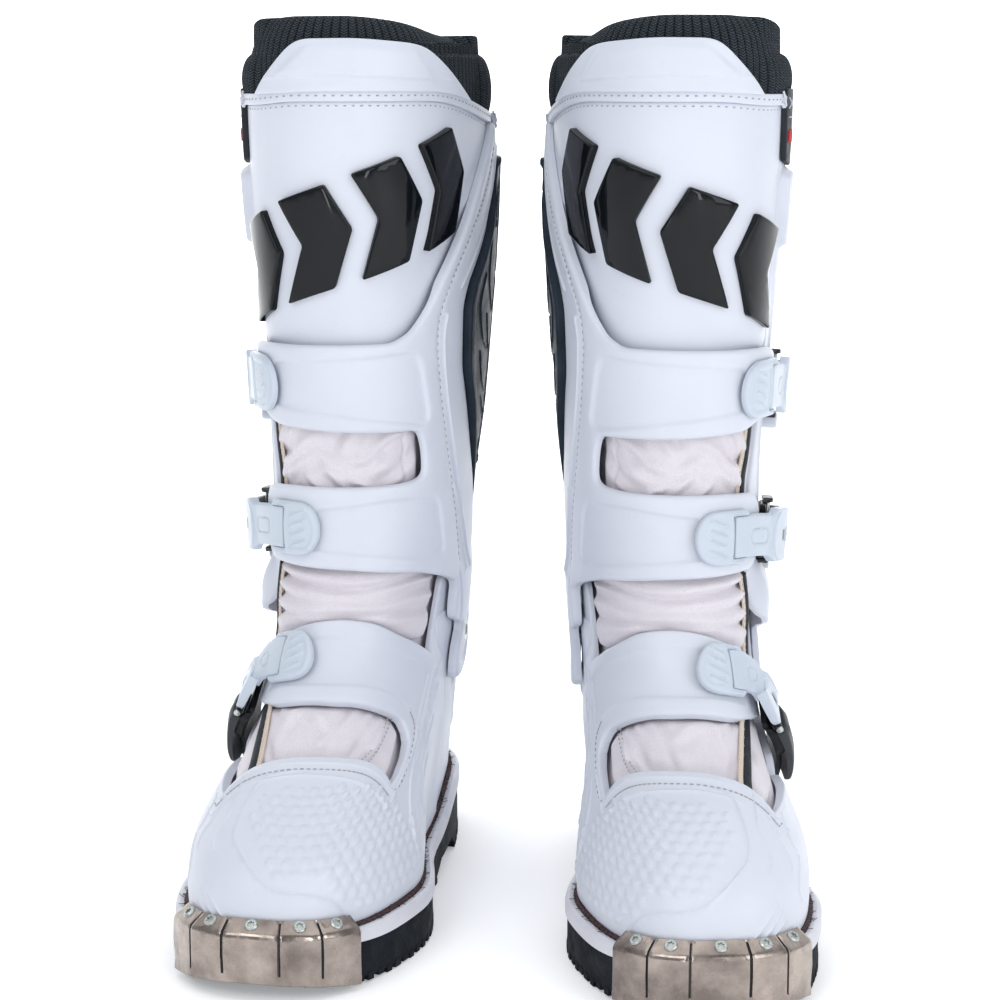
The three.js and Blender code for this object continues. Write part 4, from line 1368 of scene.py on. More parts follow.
def toe_relief():
    """Ridges along the toe's upper edge, its field of discs, and the hollow along the band."""
    second = [(a, float(toe_top(a)) - 6.2 - 0.02 * abs(a - 6)) for a in np.linspace(-58, 66, 40)]
    around = second + [(77, 76.5), (81, 83), (78, 92), (66, 99)]
    bump_zone = on_foot([(-13, 77), (-14, 66), (6, 49), (28, 45), (47, 29.5), (100, 30), (118, 39),
                         (98, 58), (79, 69), (50, 78), (21, 82.5), (-1, 83)])
    zone_edge = [(0, 85), (-12, 82), (-16, 77), (-17.5, 68), (-16, 63), (-12, 60), (-1, 52), (4, 48.5),
                 (10, 46.3), (21, 45), (28, 43), (37, 38), (45, 28)]
    curls = [[(-27, 81), (-25, 71), (-30, 63), (-27, 58)], [(-36, 76), (-40, 66), (-46, 60), (-47, 55)],
             [(-52, 71), (-55, 62), (-60, 58)], [(-60, 56), (-52, 47), (-56, 40)],
             [(-30, 46), (-22, 39), (-15, 32.5)], [(-36, 38), (-30, 35), (-25, 31.5)],
             [(-33, 43), (-26, 37), (-20, 32)]]
    barbs = [[(96, 112), (90, 99), (99, 91)], [(101, 101), (96, 86), (106, 78)],
             [(108, 88), (103, 74), (113, 66)], [(117, 75), (111, 62), (121, 55)]]
    panel_edge = smooth_line([(-40, 121), (-20, 131), (0, 135), (20, 132.5), (43, 125), (70, 115),
                              (82, 109)])
    panel_low = smooth_line([(-36, 108), (-10, 114.5), (18, 114.5), (45, 107), (66, 98), (78, 90)])
    instep = np.concatenate([panel_edge, panel_low[::-1]])
    relief = [
        Bumps(bump_zone, 7.0, 3.05, 0.75), foot_line(zone_edge, 1.5, 0.6), foot_line(around, 2.2, 0.6),
        Line(on_foot([(a, float(toe_top(a)) - 2.2) for a in np.linspace(-64, 70, 40)]), 2.6, 0.55),
        Field(on_foot(instep), -0.9, 2.2),
        foot_line([(86, 112), (85, 96), (86, 80), (90, 66), (98, 52), (108, 38)], 2.2, 0.7),
        foot_line([(92, 112), (92, 96), (94, 80), (99, 64), (110, 48)], 1.8, -0.5),
    ]
    relief += [foot_line(c, 1.9, 0.55) for c in curls]
    return relief + [Line(on_foot(b), 1.6, 0.5) for b in barbs]


def toe_shell():
    """Front moulding: the toe, the inner side and the band over the instep, in one."""
    def top_face(flat):
        return -1.9 * ease(110, 126, from_foot(flat)[1])

    return plate(toe_outline(), foot_space, top_face, SHELL_BOTTOM, 1.6, toe_relief(), spacing=3.0)


def heel_cup():
    """White cup round the heel and both ankles, with a ribbed counter."""
    in_share = side_at(110, 30) / skin.half_girth(30) - 2
    out_share = -side_at(169, 30) / skin.half_girth(30)
    shares = np.linspace(in_share, out_share, 110)
    outer = [(-side_at(lerp(169, 132, ease(78, 102, z)), z), z) for z in np.linspace(45, 108, 24)]
    a_in, a_out = side_at(110, 112) - 2 * skin.half_girth(112), -side_at(124, 112)
    top = []
    for a in np.linspace(a_out, a_in, 70):
        u = SHAFT_CENTRE - wrap(a, 118)[1]
        top.append((a, float(112 + 22 * ease(26, 56, u) - 22 * ease(100, 126, u))))
    inner = [(side_at(110, z) - 2 * float(skin.half_girth(z)), z) for z in np.linspace(104, 50, 12)]
    loop = on_foot(np.concatenate([along_sole(shares), outer, top, inner]))
    half = float(skin.half_girth(70))
    counter = on_foot([(-half - 62, 50), (-half + 62, 50), (-half + 50, 92), (-half + 24, 104),
                       (-half - 24, 104), (-half - 50, 92)])
    relief = [Field(counter, 1.2, 3.0)]
    relief += [Line(on_foot([(-half - s, z), (-half + s, z)]), 3.0, -0.9)
               for z, s in ((60, 44), (70, 40), (80, 34), (90, 26))]
    ridge = ((163, 52), (140, 58), (120, 72), (104, 92), (98, 110))
    relief.append(foot_line([(-side_at(u, z), z) for u, z in ridge], 3.0, 0.8))
    return plate(loop, foot_space, -1.0, SHELL_BOTTOM, 1.2, relief, spacing=4.0)


def foot_threads():
    """Stitches along the toe's upper edge, beside its ridges."""
    row = on_foot([(a, float(toe_top(a)) - 4.3) for a in np.linspace(-50, 66, 60)])
    side = on_foot(smooth_line([(70, 71.5), (77, 74), (79, 82), (76, 90), (66, 97)]))
    return joined(*[stitches(line, 0.05, 3.4, (1.0, 0.42, 0.35), foot_space) for line in (row, side)])


def ankle_pin(x_in, x_out):
    """Hinge pin with a broad head outside the boot."""
    sign = math.copysign(1, x_out)
    shaft = [(4.9, x_in), (4.9, sign * 43.4), (5.6, sign * 43.6), (5.8, sign * 44.0), (5.8, sign * 44.7),
             (5.2, sign * 45.2), (3.2, sign * 45.25), (2.6, sign * 44.5), (0.2, sign * 44.5)]
    return lathe([(r, abs(x)) for r, x in shaft], (0, SHAFT_CENTRE - PIVOT_U, PIVOT_Z), (sign, 0, 0), 40)


# ---- soft parts -----------------------------------------------------------------------------
class Puckers:
    """Soft oblong swellings and dents scattered over a window of leather."""

    def __init__(self, seed, window, count, height):
        rng = np.random.default_rng(seed)
        a0, a1, z0, z1 = window
        columns = max(2, round(math.sqrt(count * (a1 - a0) / (z1 - z0))))
        rows = max(2, math.ceil(count / columns))
        self.items = []
        for i in range(columns):
            for j in range(rows):
                a = lerp(a0, a1, (i + 0.5 + rng.uniform(-0.28, 0.28)) / columns)
                z = lerp(z0, z1, (j + 0.5 + rng.uniform(-0.28, 0.28) + 0.25 * (i % 2)) / rows)
                angle = rng.uniform(0.15, 0.95) * (1 if rng.uniform() < 0.75 else -1)
                self.items.append((a, z, angle, rng.uniform(4.5, 8.5), rng.uniform(2.0, 3.4),
                                   height * rng.uniform(0.6, 1.2) * (1 if rng.uniform() < 0.62 else -1)))

    def rise(self, a, z):
        out = np.zeros(np.broadcast(a, z).shape)
        for ca, cz, angle, length, width, height in self.items:
            s = (a - ca) * math.cos(angle) + (z - cz) * math.sin(angle)
            t = (z - cz) * math.cos(angle) - (a - ca) * math.sin(angle)
            out += height * np.exp(-(s / length) ** 2 - (t / width) ** 2)
            out -= 0.5 * height * np.exp(-(s / length) ** 2 - ((t + width * 1.5) / (width * 0.8)) ** 2)
        return out


def ripple(a, z):
    """Slight waviness of the leather."""
    return 0.16 * np.sin(a * 0.43 + 1.7 * np.sin(z * 0.21)) * np.sin(z * 0.37 + 1.3 * np.sin(a * 0.17 + 2))


def steps_round(low, high, n_dense, n_rest):
    """Shares of the girth, closely spaced from low to high."""
    dense = np.linspace(low, high, n_dense)
    rest = np.linspace(high, low + 2, n_rest + 2)[1:-1]
    return np.concatenate([dense, rest])


LEATHER_OFF = -8.0       # the leather's outer face, where it lies flat
LINING_OFF = -11.0       # its inner face
SHAFT_TOP = 408.0        # height of the leather's top edge, inside the collar
COLLAR_TOP = 423         # height of the knit collar at the front


def inner_face(a, z):
    return np.full(len(a), LINING_OFF)


UPPER_PUCKERS = Puckers(21, (-42, 44, 203, 232), 17, 1.9)
LOWER_PUCKERS = Puckers(34, (-44, 52, 84, 108), 14, 2.3)


def tilted(middle, swing):
    """An edge round the boot: middle high at the sides, and swing above it at the front."""
    return lambda f: middle + swing * np.cos(f * math.pi)


def leg_upper():
    """Leather shaft, swelling a little in the window between the bands."""
    def outer(a, z):
        inside = ease(-58, -50, a) * fall(48, 56, a) * ease(195, 201, z) * fall(234, 240, z)
        low_end = ease(-54, -45, a) * fall(60, 76, a) * fall(164, 176, z)
        rise = inside * (4.6 + UPPER_PUCKERS.rise(a, z) + ripple(a, z)) + low_end * 4.2
        return LEATHER_OFF + rise - 1.0 * np.exp(-((a - 40.5) / 0.9) ** 2) * inside

    f = steps_round(-0.32, 0.30, 120, 60)
    t = np.concatenate([np.linspace(0, 0.31, 52), np.linspace(0.33, 1, 16)])
    return tube(tilted(159, 9), tilted(SHAFT_TOP, 0), outer, inner_face, f, t)


BELLOWS_FOLDS = [smooth_line(line) for line in (
    [(-46, 158), (-15, 157.5), (4, 155.8), (24, 156.5), (48, 157.5), (70, 156)],
    [(-52, 147), (-31, 150), (0, 150.5), (28, 149), (52, 150.5), (76, 147)],
    [(-52, 139), (-25, 142.5), (2, 144.2), (26, 143), (50, 140), (78, 138)],
)]


def bellows():
    """Flexing leather between foot and leg: soft rolls across the front."""
    def outer(a, z):
        cos = np.cos(np.pi * a / skin.half_girth(z))
        front = ease(0.1, 0.6, cos)
        flat = np.stack([a, z], axis=1)
        folds = sum(depth * np.exp(-(distance_to(flat, line, False) / width) ** 2)
                    for line, depth, width in zip(BELLOWS_FOLDS, (2.3, 1.3, 1.5), (1.7, 1.9, 1.5)))
        rolls = 0.5 * np.sin(z * 0.72 + 0.045 * a + 0.6 * np.sin(a * 0.06))
        side = 1.1 * ease(30, 80, np.abs(a)) * np.sin(z * 0.55 + a * 0.05)
        swell = 5.9 - folds * 1.25 + rolls + side + 0.7 * ripple(a * 1.6, z * 1.4)
        swell = swell * ease(-60, -51, a) * fall(70, 81, a)
        clear = ease(-2, 5, z - np.interp(a, *zip(*INSTEP_TOP)))
        return -7.5 + front * swell * clear * (1 - 0.35 * ease(161, 166, z))

    f = steps_round(-0.42, 0.46, 170, 60)
    return tube(tilted(127.5, -2.5), tilted(158.5, 9), outer, lambda a, z: -7.9 - 2.7 * ease(133, 137, z),
                f, np.linspace(0, 1, 48))


def foot_upper():
    """Leather of the foot, seen in the window over the toe and along the outer side."""
    def outer(a, z):
        top = np.interp(a, *zip(*INSTEP_LOW))
        inside = ease(-80, -66, a) * fall(62, 70, a)
        inside = inside * ease(0.5, 6, z - toe_top(a)) * fall(-3, 2.5, z - top)
        side = fall(-84, -64, a) * ease(-190, -150, a) * ease(60, 80, z) * fall(118, 128, z)
        body = 4.4 + LOWER_PUCKERS.rise(a, z) * fall(40, 52, a) + ripple(a, z)
        return LEATHER_OFF + np.maximum(inside * body, side * (3.0 + 0.6 * ripple(a, z)))

    f = steps_round(-0.42, 0.30, 150, 60)
    t = np.concatenate([np.linspace(0, 0.38, 10), np.linspace(0.40, 1, 50)])
    return tube(foot_edge, tilted(132.5, -2.5), outer, inner_face, f, t)


def guarded(a):
    """1 behind the top guard, where the collar lies lower."""
    return ease(-48, -37, a) * fall(115, 126, a)


def gaiter():
    """Padded knitted collar in two rolls, ribbed upwards."""
    half_ribs = 49
    f = np.linspace(-1, 1, half_ribs * 14 + 1)[:-1]
    t = 1 - (1 - np.linspace(0, 1, 56)) ** 1.8

    def dip(a):
        return 7.5 * ease(8, 125, a) + 4.5 * ease(25, 100, -a) + 3 * ease(100, 170, -a)

    def dome(a, z):
        share = np.clip((z + dip(a) - 396) / 27.2, 0, 1)
        side = ease(45, 100, np.abs(a))
        return -2.8 - 1.6 * side - (13 + 6 * side) * (1 - np.sqrt(1 - share**2))

    def outer(a, z):
        share = a / skin.half_girth(z)
        across = np.abs((share * half_ribs) % 1 - 0.5) * 2
        rib = np.sqrt(np.clip(1 - across**2, 0, 1))
        drop = top_drop(a)
        low_roll = np.sqrt(np.clip(1 - ((z - 395 + drop * 0.5) / (11.0 + drop * 0.5)) ** 2, 0, 1))
        free = np.maximum(-6.0 + 5.8 * low_roll, dome(a, z))
        hidden = np.where(z < 411, -3.4, dome(a, z))
        rib = rib * (1 - 0.6 * guarded(a) * fall(408, 412, z))
        return lerp(free, np.minimum(hidden, free), guarded(a)) + rib

    def low(f):
        return 386.8 - top_drop(f * skin.half_girth(390))

    made = tube(low, lambda f: COLLAR_TOP - dip(f * skin.half_girth(410)), outer,
                lambda a, z: dome(a, z) - 4.8, f, t, lip=1.4)
    made.flat[:, 0] = np.tile(f * half_ribs * RIB, len(made.points) // len(f))
    return made


def tongue():
    """Lined tongue inside the shaft, quilted along its length."""
    loop = rounded([(-38, 179), (38, 179), (38, 402), (-38, 402)], 12)
    relief = [Line([(a, 186), (a, 396)], 4, -1.2) for a in (-20, 0, 20)]
    return plate(loop, leg_space, -12.6, -16.0, 1.4, relief, spacing=6)


def seam_strip(part, profile):
    path = smooth_line(FLAP_EDGE[part], steps=10)
    points = wrap(path[:, 0], path[:, 1], strip_off(part)(path[:, 1]))
    return sweep(points, profile, normal_at(path[:, 0], path[:, 1]))


# Sections of the black piping and of the cream strip beside it, and their course, as [a, z].
TAPE = [(-2.4, -1.0), (-2.5, 0.3), (-1.7, 1.1), (0, 1.35), (1.7, 1.1), (2.5, 0.3), (2.4, -1.0)]
EDGE_STRIP = [(-4.5, -0.6), (-4.6, 0.1), (-4.2, 0.5), (-2.4, 0.6), (-2.0, 0.0), (-2.1, -0.6)]
FLAP_EDGE = {
    "leg": [(-45.5, 239), (-42, 222), (-37.5, 209), (-37, 196), (-38.5, 184), (-40.5, 172), (-42, 160)],
    "ankle": [(-41.5, 163), (-43.5, 156), (-46, 148), (-48, 141), (-49, 134)],
    "foot": [(-49, 136), (-50, 128), (-48.5, 119), (-44.5, 109), (-38, 99), (-31, 90), (-27.5, 85),
             (-26, 80)],
}


def strip_off(part):
    """How far outside the skin the piping lies, as a function of height."""
    if part == "leg":
        return lambda z: -3.0 + 0 * z
    if part == "ankle":
        return lambda z: -2.2 + 0.6 * np.sin((z - 134) / 29 * math.pi)
    return lambda z: -2.8 + 0.6 * ease(104, 128, z)


def zigzag(part):
    """Two rows of slanted stitches down the cream strip."""
    path = smooth_line(FLAP_EDGE[part], steps=10)
    flat, ways = spaced(path, 1.55)
    ways = unit(ways)
    left = np.stack([-ways[:, 1], ways[:, 0]], axis=1)
    flat = flat + left * np.where(np.arange(len(flat)) % 2, 2.7, 3.6)[:, None]
    off = strip_off(part)(flat[:, 1]) + 0.62
    middle = wrap(flat[:, 0], flat[:, 1], off)
    ahead = wrap(flat[:, 0] + ways[:, 0] * 0.5, flat[:, 1] + ways[:, 1] * 0.5, off)
    return beads(middle, ahead - middle, normal_at(flat[:, 0], flat[:, 1]), 0.55, 0.32, 0.22)


def leather_threads():
    """Seams on the leather in the lower window."""
    rows = [[(50, 102), (47, 96), (42, 90.5), (34, 87)], [(54, 101), (51, 95), (45, 88), (36, 84.5)]]
    return joined(*[stitches(on_foot(smooth_line(row)), -3.4, 2.3, (0.7, 0.34, 0.3), foot_space)
                    for row in rows])


def side_tab():
    """Woven tab that hangs outside the top of the shaft."""
    loop = rounded([(-62, 390), (-64, 357), (-86, 354), (-86, 390)], 3)
    return plate(loop, leg_space, 1.6, -1.2, 0.7, [Line([(-67, 380), (-84, 359)], 2, -0.3)], spacing=3)


def tab_threads():
    lines = [[(-66, 386), (-84, 381)], [(-66, 381), (-84, 386)], [(-67, 377), (-84, 377)]]
    return joined(*[stitches(line, 1.7, 2.2, (0.9, 0.35, 0.3)) for line in lines])


def tab_flash():
    """Small red tag on the tab."""
    loop = rounded([(-67, 371), (-67, 365.5), (-79, 365), (-79, 371.5)], 1.2)
    return plate(loop, leg_space, 2.2, 1.4, 0.3, spacing=3)


build("outsole_skin", outsole(), MAT["sole"], "foot", ["outsole"])
build("midsole_skin", midsole(), MAT["welt"], "foot", ["midsole"])
build("welt_stitches", welt_stitches(), MAT["thread_dark"], "foot", sharp=math.radians(80))
build("toe_guard_skin", toe_guard(), MAT["steel"], "foot", ["toe_guard"])
# Dark strips in the guard's slits, as painted shade.
build("guard_slit_shade", guard_slit_shade(), MAT["piping"], "foot")
build("guard_screws", guard_screws(), MAT["zinc"], "foot", sharp=math.radians(30))
build("toe_shell_skin", toe_shell(), MAT["shell"], "foot", ["toe_shell"])
build("heel_cup_skin", heel_cup(), MAT["shell"], "foot", ["heel_cup"])
build("foot_threads", foot_threads(), MAT["thread_grey"], "foot")
build("ankle_pin_inner_skin", ankle_pin(35.5, 49), MAT["zinc"], "foot", ["ankle_pin_inner"])
build("ankle_pin_outer_skin", ankle_pin(-35.5, -49), MAT["zinc"], "foot", ["ankle_pin_outer"])
build("foot_leather", foot_upper(), MAT["leather"], "foot", ["foot_upper"])
build("bellows_leather", bellows(), MAT["leather"], "ankle", ["bellows"])
build("leg_leather", leg_upper(), MAT["leather"], "leg", ["leg_upper"])
build("collar_knit", gaiter(), MAT["knit"], "leg", ["gaiter"])
build("tongue_lining", tongue(), MAT["lining"], "leg", ["tongue"])
build("leather_threads", leather_threads(), MAT["thread_grey"], "foot")
for part in FLAP_EDGE:
    build(part + "_piping", seam_strip(part, TAPE), MAT["piping"], part)
    build(part + "_edge_strip", seam_strip(part, EDGE_STRIP), MAT["edge_cream"], part)
    build(part + "_zigzag", zigzag(part), MAT["thread_grey"], part)
build("side_tab", side_tab(), MAT["piping"], "leg")
build("tab_threads", tab_threads(), MAT["thread_white"], "leg")
build("tab_flash", tab_flash(), MAT["tab_red"], "leg")
for side in SIDES:
    insole = bpy.data.objects[side.prefix + "insole"]
    insole.data.materials.clear()
    insole.data.materials.append(MAT["lining"])


# ---- closures -------------------------------------------------------------------------------
class Track:
    """A strap's path over the boot. A place on it is [p, q]: p along it, and q straight across."""

    def __init__(self, stops):
        line = smooth_line(stops, steps=24)
        self.line = wrap(line[:, 0], line[:, 1], line[:, 2])
        steps = np.linalg.norm(np.diff(self.line, axis=0), axis=1)
        self.run = np.concatenate([[0], np.cumsum(steps)])
        self.stops = [float(self.run[min(24 * k, len(self.run) - 1)]) for k in range(len(stops))]
        self.along = unit(np.gradient(self.line, axis=0))
        self.across = unit(np.cross(normal_at(line[:, 0], line[:, 1]), self.along))
        self.up = np.cross(self.along, self.across)

    def at(self, table, p):
        """A row of the table at each distance p along the path."""
        inside = np.clip(p, 0, self.run[-1])
        return np.stack([np.interp(inside, self.run, table[:, k]) for k in range(3)], axis=-1)

    def space(self, flat, off):
        p, q = flat[:, 0], flat[:, 1]
        past = p - np.clip(p, 0, self.run[-1])
        off = np.broadcast_to(off, p.shape)
        return (self.at(self.line, p) + self.at(self.along, p) * past[:, None]
                + self.at(self.across, p) * q[:, None] + self.at(self.up, p) * off[:, None])

    def point(self, p, q, off):
        return self.space(np.array([[p, q]], float), np.array([off]))[0]


def aside(u, z, off):
    """A place on the outer side that lies u in front of the heel."""
    return (-side_at(u, z), z, off)


# For each closure: the body of its base, its width, where its holder starts, the strap's path
# (start of the holder, its end, then the strap, the lever's pin, the lever's end) and its base's.
CLOSURES = {
    "upper": ("leg", 27, 0,
              [(-25, 252.5, 4.2), (-54, 252.2, 4.2), (-70, 250.8, 4.8), (-87, 249, 5.4), (-120, 246, 4.2)],
              [(-78, 250, -0.3), (-99, 248, -0.3), (-121, 246, -0.3)]),
    "middle": ("leg", 25.5, 2.5,
               [(-2, 184, 4.2), (-29, 183.6, 4.2), (-50, 181, 6.6), (-70, 178.8, 9), (-102, 176.5, 5.6)],
               [(-58, 180.5, 0.6), (-80, 178.5, -0.3), (-104, 177, -0.3)]),
    "lower": ("foot", 25, 4.5,
              [(0, 128, 1), (-30, 121, 1), (-45, 112, 3.4), aside(168, 98, 6), aside(158, 69, 5.4)],
              [aside(165, 104, 0.9), aside(155, 84, 0.8), aside(149, 69, 0.8)]),
}


def sized(middle, half_long, half_wide):
    """A rectangle across a strap's path."""
    return [(middle - half_long, half_wide), (middle + half_long, half_wide),
            (middle + half_long, -half_wide), (middle - half_long, -half_wide)]


def head_of(track):
    """Where the strap's broad head starts and where its window lies."""
    head = lerp(track.stops[1], track.stops[3], 0.44)
    return head, lerp(head, track.stops[3], 0.56)


def holder(track, width, start):
    """Rounded plate that the strap starts from, notched for it, with raised slanted bars."""
    half, end = width / 2, track.stops[1]
    turns = np.radians(np.linspace(-90, 90, 25))
    nose = (end - start) * 0.46
    round_end = [(start + nose * (1 - math.cos(t) ** 0.75), half * math.sin(t)) for t in turns]
    ears = [(end - 1.5, half), (end, half - 1.2), (end, half - 3.0), (end - 9, half - 3.0),
            (end - 9, -half + 3.0), (end, -half + 3.0), (end, -half + 1.2), (end - 1.5, -half)]

    def top(flat):
        return 2.9 + 0.9 * (1 - np.clip(flat[:, 1] / half, -1, 1) ** 2) * ease(0, 9, flat[:, 0])

    middle = lerp(start, end, 0.38)
    bars = [[(middle - 3.6, q - 1.6), (middle + 3.2, q + 1.4)] for q in (-7.5, -2.7, 2.1, 6.9)]
    hooks = [[(end - 9.6, s * (half - 4.6)), (end - 9.6, s * (half - 1.9)), (end - 3.5, s * (half - 1.7))]
             for s in (-1, 1)]
    inner = [(start + nose * (0.66 - 0.42 * math.cos(t)), (half - 3.4) * math.sin(t)) for t in turns]
    panel = inner + [(end - 11.4, half - 3.4), (end - 11.4, -half + 3.4)]
    relief = [Field(rounded(panel, 1), -0.55, 1.3)] + [Line(b, 1.9, 0.75) for b in bars]
    relief += [Line(h, 1.0, -0.5) for h in hooks]
    return plate(np.array(round_end + ears), track.space, top, 0.0, 1.2, relief, spacing=2.2)


def strap(track, width):
    """Toothed strap with a broad head at its far end."""
    start, end = track.stops[1] - 8.4, track.stops[3]
    head, middle = head_of(track)
    half = width / 2
    narrow = half * 0.76
    places = np.arange(head - 1.5, track.stops[1] + 1, -1.35)
    teeth = [(p, -narrow - (0.75 if k % 2 else 0)) for k, p in enumerate(places)]
    loop = [(start, narrow), (head - 2, narrow), (head + 3.5, half), (end - 3.5, half), (end, half - 4.5),
            (end, -half + 4.5), (end - 3.5, -half), (head + 3.5, -half), (head - 0.5, -narrow)]
    loop += teeth + [(start, -narrow)]

    def top(flat):
        return 3.4 + 1.7 * ease(head - 2.5, head + 2.5, flat[:, 0]) - 1.5 * ease(end - 7, end, flat[:, 0])

    arch = [(head + 6.5 - 6.0 * math.cos(t), (half - 1.5) * math.sin(t))
            for t in np.radians(np.linspace(-78, 78, 17))]
    slot = rounded([(start + 10.5, 3.6), (head - 4, 3.6), (head - 4, -3.6), (start + 10.5, -3.6)], 3)
    relief = [Line(slot, 1.3, -0.55, closed=True), Line(arch, 1.5, -0.7),
              Field(rounded(sized(middle, 2.9, 2.7), 0.5), -1.1, 0.7)]
    return plate(np.array(loop), track.space, top, 0.6, 0.9, relief, spacing=2.0)


def strap_window(track):
    """Metal catch seen through the strap's head."""
    end, middle = track.stops[3], head_of(track)[1]
    top = 5.1 - 1.5 * float(ease(end - 7, end, middle)) - 0.62
    loop = rounded(sized(middle, 2.2, 2.1), 0.4)
    groove = Line([(middle - 2, 0), (middle + 2, 0)], 0.8, -0.2)
    return plate(loop, track.space, top, top - 1.2, 0.25, [groove], spacing=1.5)


def lever(track, width):
    """Faceted catch beyond the strap's head."""
    start, end = track.stops[3] + 3.4, track.stops[4]
    bend = lerp(start, end, 0.55)
    wide, narrow = width * 0.42, width * 0.34
    loop = [(start, wide), (bend, wide), (end - 2.5, narrow + 0.6), (end, narrow - 3),
            (end, -narrow + 3), (end - 2.5, -narrow - 0.6), (bend, -wide), (start, -wide)]

    def top(flat):
        t = np.clip((flat[:, 0] - start) / (end - start), 0, 1)
        facet = np.clip(np.abs(flat[:, 1]) / wide - 0.45, 0, 1) * 3.2
        return 5.6 - 2.6 * t - facet - 0.9 * ease(0.78, 1.0, t) - 1.1 * (1 - ease(0.0, 0.12, t))

    notch = [(start + 5, 0), (start + 13, 0)]
    return plate(rounded(loop, 1.2), track.space, top, -0.6, 0.9, [Line(notch, 4.5, -0.8)], spacing=2.0)


def link(track, width):
    """Black hinge block between the head and its lever."""
    p = track.stops[3]
    half = width * 0.40
    loop = rounded([(p - 1.2, half - 1), (p + 3.0, half), (p + 3.0, -half), (p - 1.2, -half + 1)], 0.8)
    return plate(loop, track.space, 2.9, -0.2, 0.8, spacing=2.0)


def rivets(track, width):
    """Silver ends of the hinge pin."""
    p, half = track.stops[3] + 1.4, width * 0.40
    profile = [(1.0, -1.5), (1.7, 0), (1.65, 0.6), (1.1, 1.05), (0.1, 1.15)]
    parts = []
    for sign in (-1, 1):
        centre = track.point(p, sign * half, 1.6)
        axis = track.point(p, sign * (half + 1), 1.6) - centre
        parts.append(lathe(profile, centre, axis, 20))
    return joined(*parts)


def buckle_base(track, width):
    """Black base under the head and lever, with raised cheeks beside them."""
    end = track.run[-1]
    half = width / 2
    loop = [(0, half * 1.02), (end * 0.42, half * 1.08), (end * 0.6, half * 0.95), (end, half * 0.74),
            (end, -half * 0.74), (end * 0.6, -half * 0.95), (end * 0.42, -half * 1.08), (0, -half * 1.02)]
    parts = [plate(rounded(loop, 2), track.space, 2.6, 0.0, 0.7,
                   [Line([(4, q), (end - 4, q)], 2.2, -0.5) for q in (-5, 5)], spacing=3)]
    for sign in (-1, 1):
        inner, outer = sign * (half + 0.9), sign * (half * 1.06 + 2.4)
        cheek = [(end * 0.06, inner), (end * 0.16, outer), (end * 0.50, outer), (end * 0.62, inner)]

        def top(flat):
            p = flat[:, 0]
            return 2.4 + 3.4 * ease(end * 0.04, end * 0.2, p) * fall(end * 0.46, end * 0.64, p)

        parts.append(plate(rounded(cheek, 0.8), track.space, top, 1.0, 0.6, spacing=1.6))
    return joined(*parts)


def catch_pin(track, width):
    """Steel cross pin that the strap's teeth drop on."""
    p, half = track.run[-1] * 0.26, width / 2 * 1.04
    start = track.point(p, -half, 3.2)
    profile = [(0.2, -0.4), (1.1, -0.3), (1.2, 0), (1.2, 2 * half), (1.1, 2 * half + 0.3),
               (0.2, 2 * half + 0.4)]
    return lathe(profile, start, track.point(p, -half + 1, 3.2) - start, 14)


def guide_tab(z):
    """Small white tab that stands out under a buckle."""
    loop = rounded([(-82, z - 2), (-84, z + 4.5), (-99, z + 5), (-104, z - 0.5), (-98, z - 5)], 1.6)
    return plate(loop, leg_space, 6.2, -2.0, 1.0, spacing=3)


for name, (foundation, width, holder_start, stops, base_stops) in CLOSURES.items():
    track, base_track = Track(stops), Track(base_stops)
    strap_body, lever_body = name + "_strap_body", name + "_lever_body"
    build(name + "_holder_plate", holder(track, width, holder_start), MAT["strap"], strap_body,
          [name + "_strap_holder"])
    build(name + "_strap_skin", strap(track, width), MAT["strap"], strap_body, [name + "_strap"])
    build(name + "_strap_catch", strap_window(track), MAT["dark_zinc"], strap_body)
    build(name + "_link", link(track, width), MAT["black"], strap_body)
    build(name + "_link_rivets", rivets(track, width), MAT["zinc"], strap_body)
    build(name + "_lever_skin", lever(track, width), MAT["lever"], lever_body, [name + "_lever"],
          sharp=math.radians(24))
    build(name + "_base_skin", buckle_base(base_track, width), MAT["black"], foundation,
          [name + "_buckle_base"])
    build(name + "_base_pin", catch_pin(base_track, width), MAT["zinc"], foundation)
for name, height in (("upper", 230), ("middle", 160)):
    build(name + "_guide_tab", guide_tab(height), MAT["shell"], "leg")


# ---- stage ----------------------------------------------------------------------------------
HALF_WIDE = 9.0          # of the floor, in metres, as all lengths of the stage


def stage_sheet(name, rows):
    """A strip of floor and backdrop through rows of (y, z) in metres, smoothly curved."""
    line = smooth_line(rows, steps=6)
    points = [(x, y, z) for y, z in line for x in (-HALF_WIDE, HALF_WIDE)]
    faces = [(2 * k, 2 * k + 1, 2 * k + 3, 2 * k + 2) for k in range(len(line) - 1)]
    mesh = bpy.data.meshes.new(name)
    mesh.from_pydata(points, [], faces)
    mesh.polygons.foreach_set("use_smooth", np.ones(len(faces), bool))
    mesh.materials.append(paper())
    sheet = bpy.data.objects.new(name, mesh)
    bpy.context.scene.collection.objects.link(sheet)


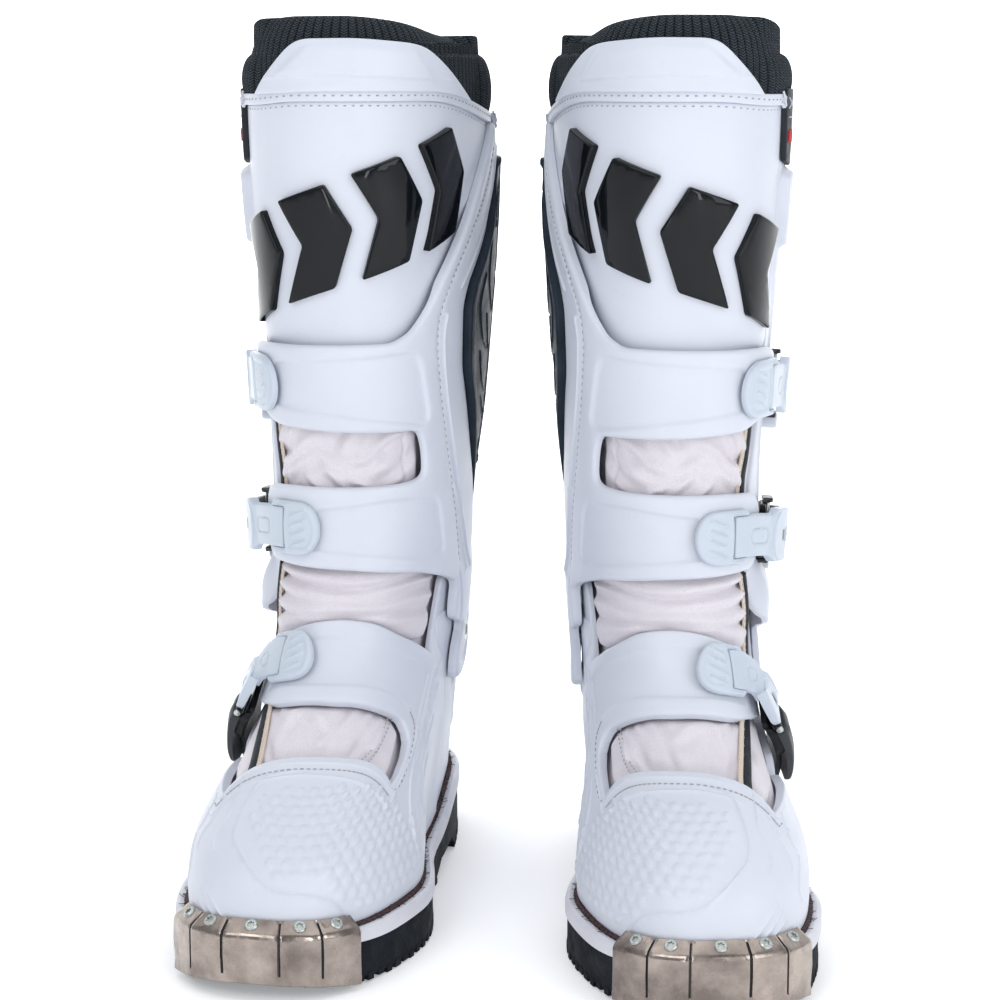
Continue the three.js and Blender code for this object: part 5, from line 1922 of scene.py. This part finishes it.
def paper():
    """Matt white paper that glows a little, so that it stays pale far from the lamps."""
    n = Nodes("paper", "stage", 0.9, specular=0.1)
    tone = n.spread(n.noise(3, 3), 0.3, 0.7)
    n.shader.inputs["Emission Color"].default_value = (0.95, 0.97, 1.0, 1.0)
    n.shader.inputs["Emission Strength"].default_value = 0.28
    colour = n.mix(tone, (0.90, 0.90, 0.905), (0.93, 0.93, 0.93))
    return n.finish(colour, None, [(n.noise(700, 3), 0.05, 0.0004)])


def lamp(name, place, target, size, power):
    """A rectangular lamp at a place, facing the target. size in metres, power in watts."""
    light = bpy.data.lights.new(name, "AREA")
    light.shape = "RECTANGLE"
    light.size, light.size_y = size
    light.energy = power
    item = bpy.data.objects.new(name, light)
    item.location = place
    item.rotation_euler = (Vector(target) - Vector(place)).to_track_quat("-Z", "Y").to_euler()
    bpy.context.scene.collection.objects.link(item)


def camera():
    """At the photograph's viewing angle: low in front of the boots, looking slightly down."""
    data = bpy.data.cameras.new("camera")
    data.lens = 87.6
    data.sensor_width = 36
    data.clip_start = 0.05
    item = bpy.data.objects.new("camera", data)
    item.location = (0.00108, -1.13782, 0.394)
    item.rotation_euler = (math.radians(80.2), 0, 0)
    bpy.context.scene.collection.objects.link(item)
    bpy.context.scene.camera = item


def sky():
    """Plain pale light from all round."""
    world = bpy.data.worlds.new("studio")
    world.use_nodes = True
    background = world.node_tree.nodes["Background"]
    background.inputs["Color"].default_value = (0.93, 0.96, 1.0, 1)
    background.inputs["Strength"].default_value = 0.45
    bpy.context.scene.world = world


stage_sheet("floor", [(-9, 0), (-2.5, 0), (0, 0), (1.6, 0), (2.4, 0.1), (2.9, 0.6), (3.0, 1.4), (3.0, 7.0)])
lamp("key", (-1.0, -1.6, 1.5), (0, 0, 0.2), (1.2, 1.0), 9.5)
lamp("fill", (1.4, -1.3, 0.8), (0, 0, 0.1), (0.9, 1.3), 9.5)
lamp("strip_left", (-0.55, -1.7, 0.55), (0, 0, 0.25), (0.10, 1.1), 2.2)
lamp("strip_right", (0.60, -1.6, 0.60), (0, 0, 0.25), (0.12, 1.1), 2.2)
lamp("top", (0, 0.5, 2.6), (0, 0.4, 0), (4.0, 3.6), 36)
lamp("back", (0, 1.3, 1.9), (0, 3.0, 0.7), (3.0, 1.0), 60)
camera()
sky()
bpy.context.scene.view_settings.view_transform = "Standard"
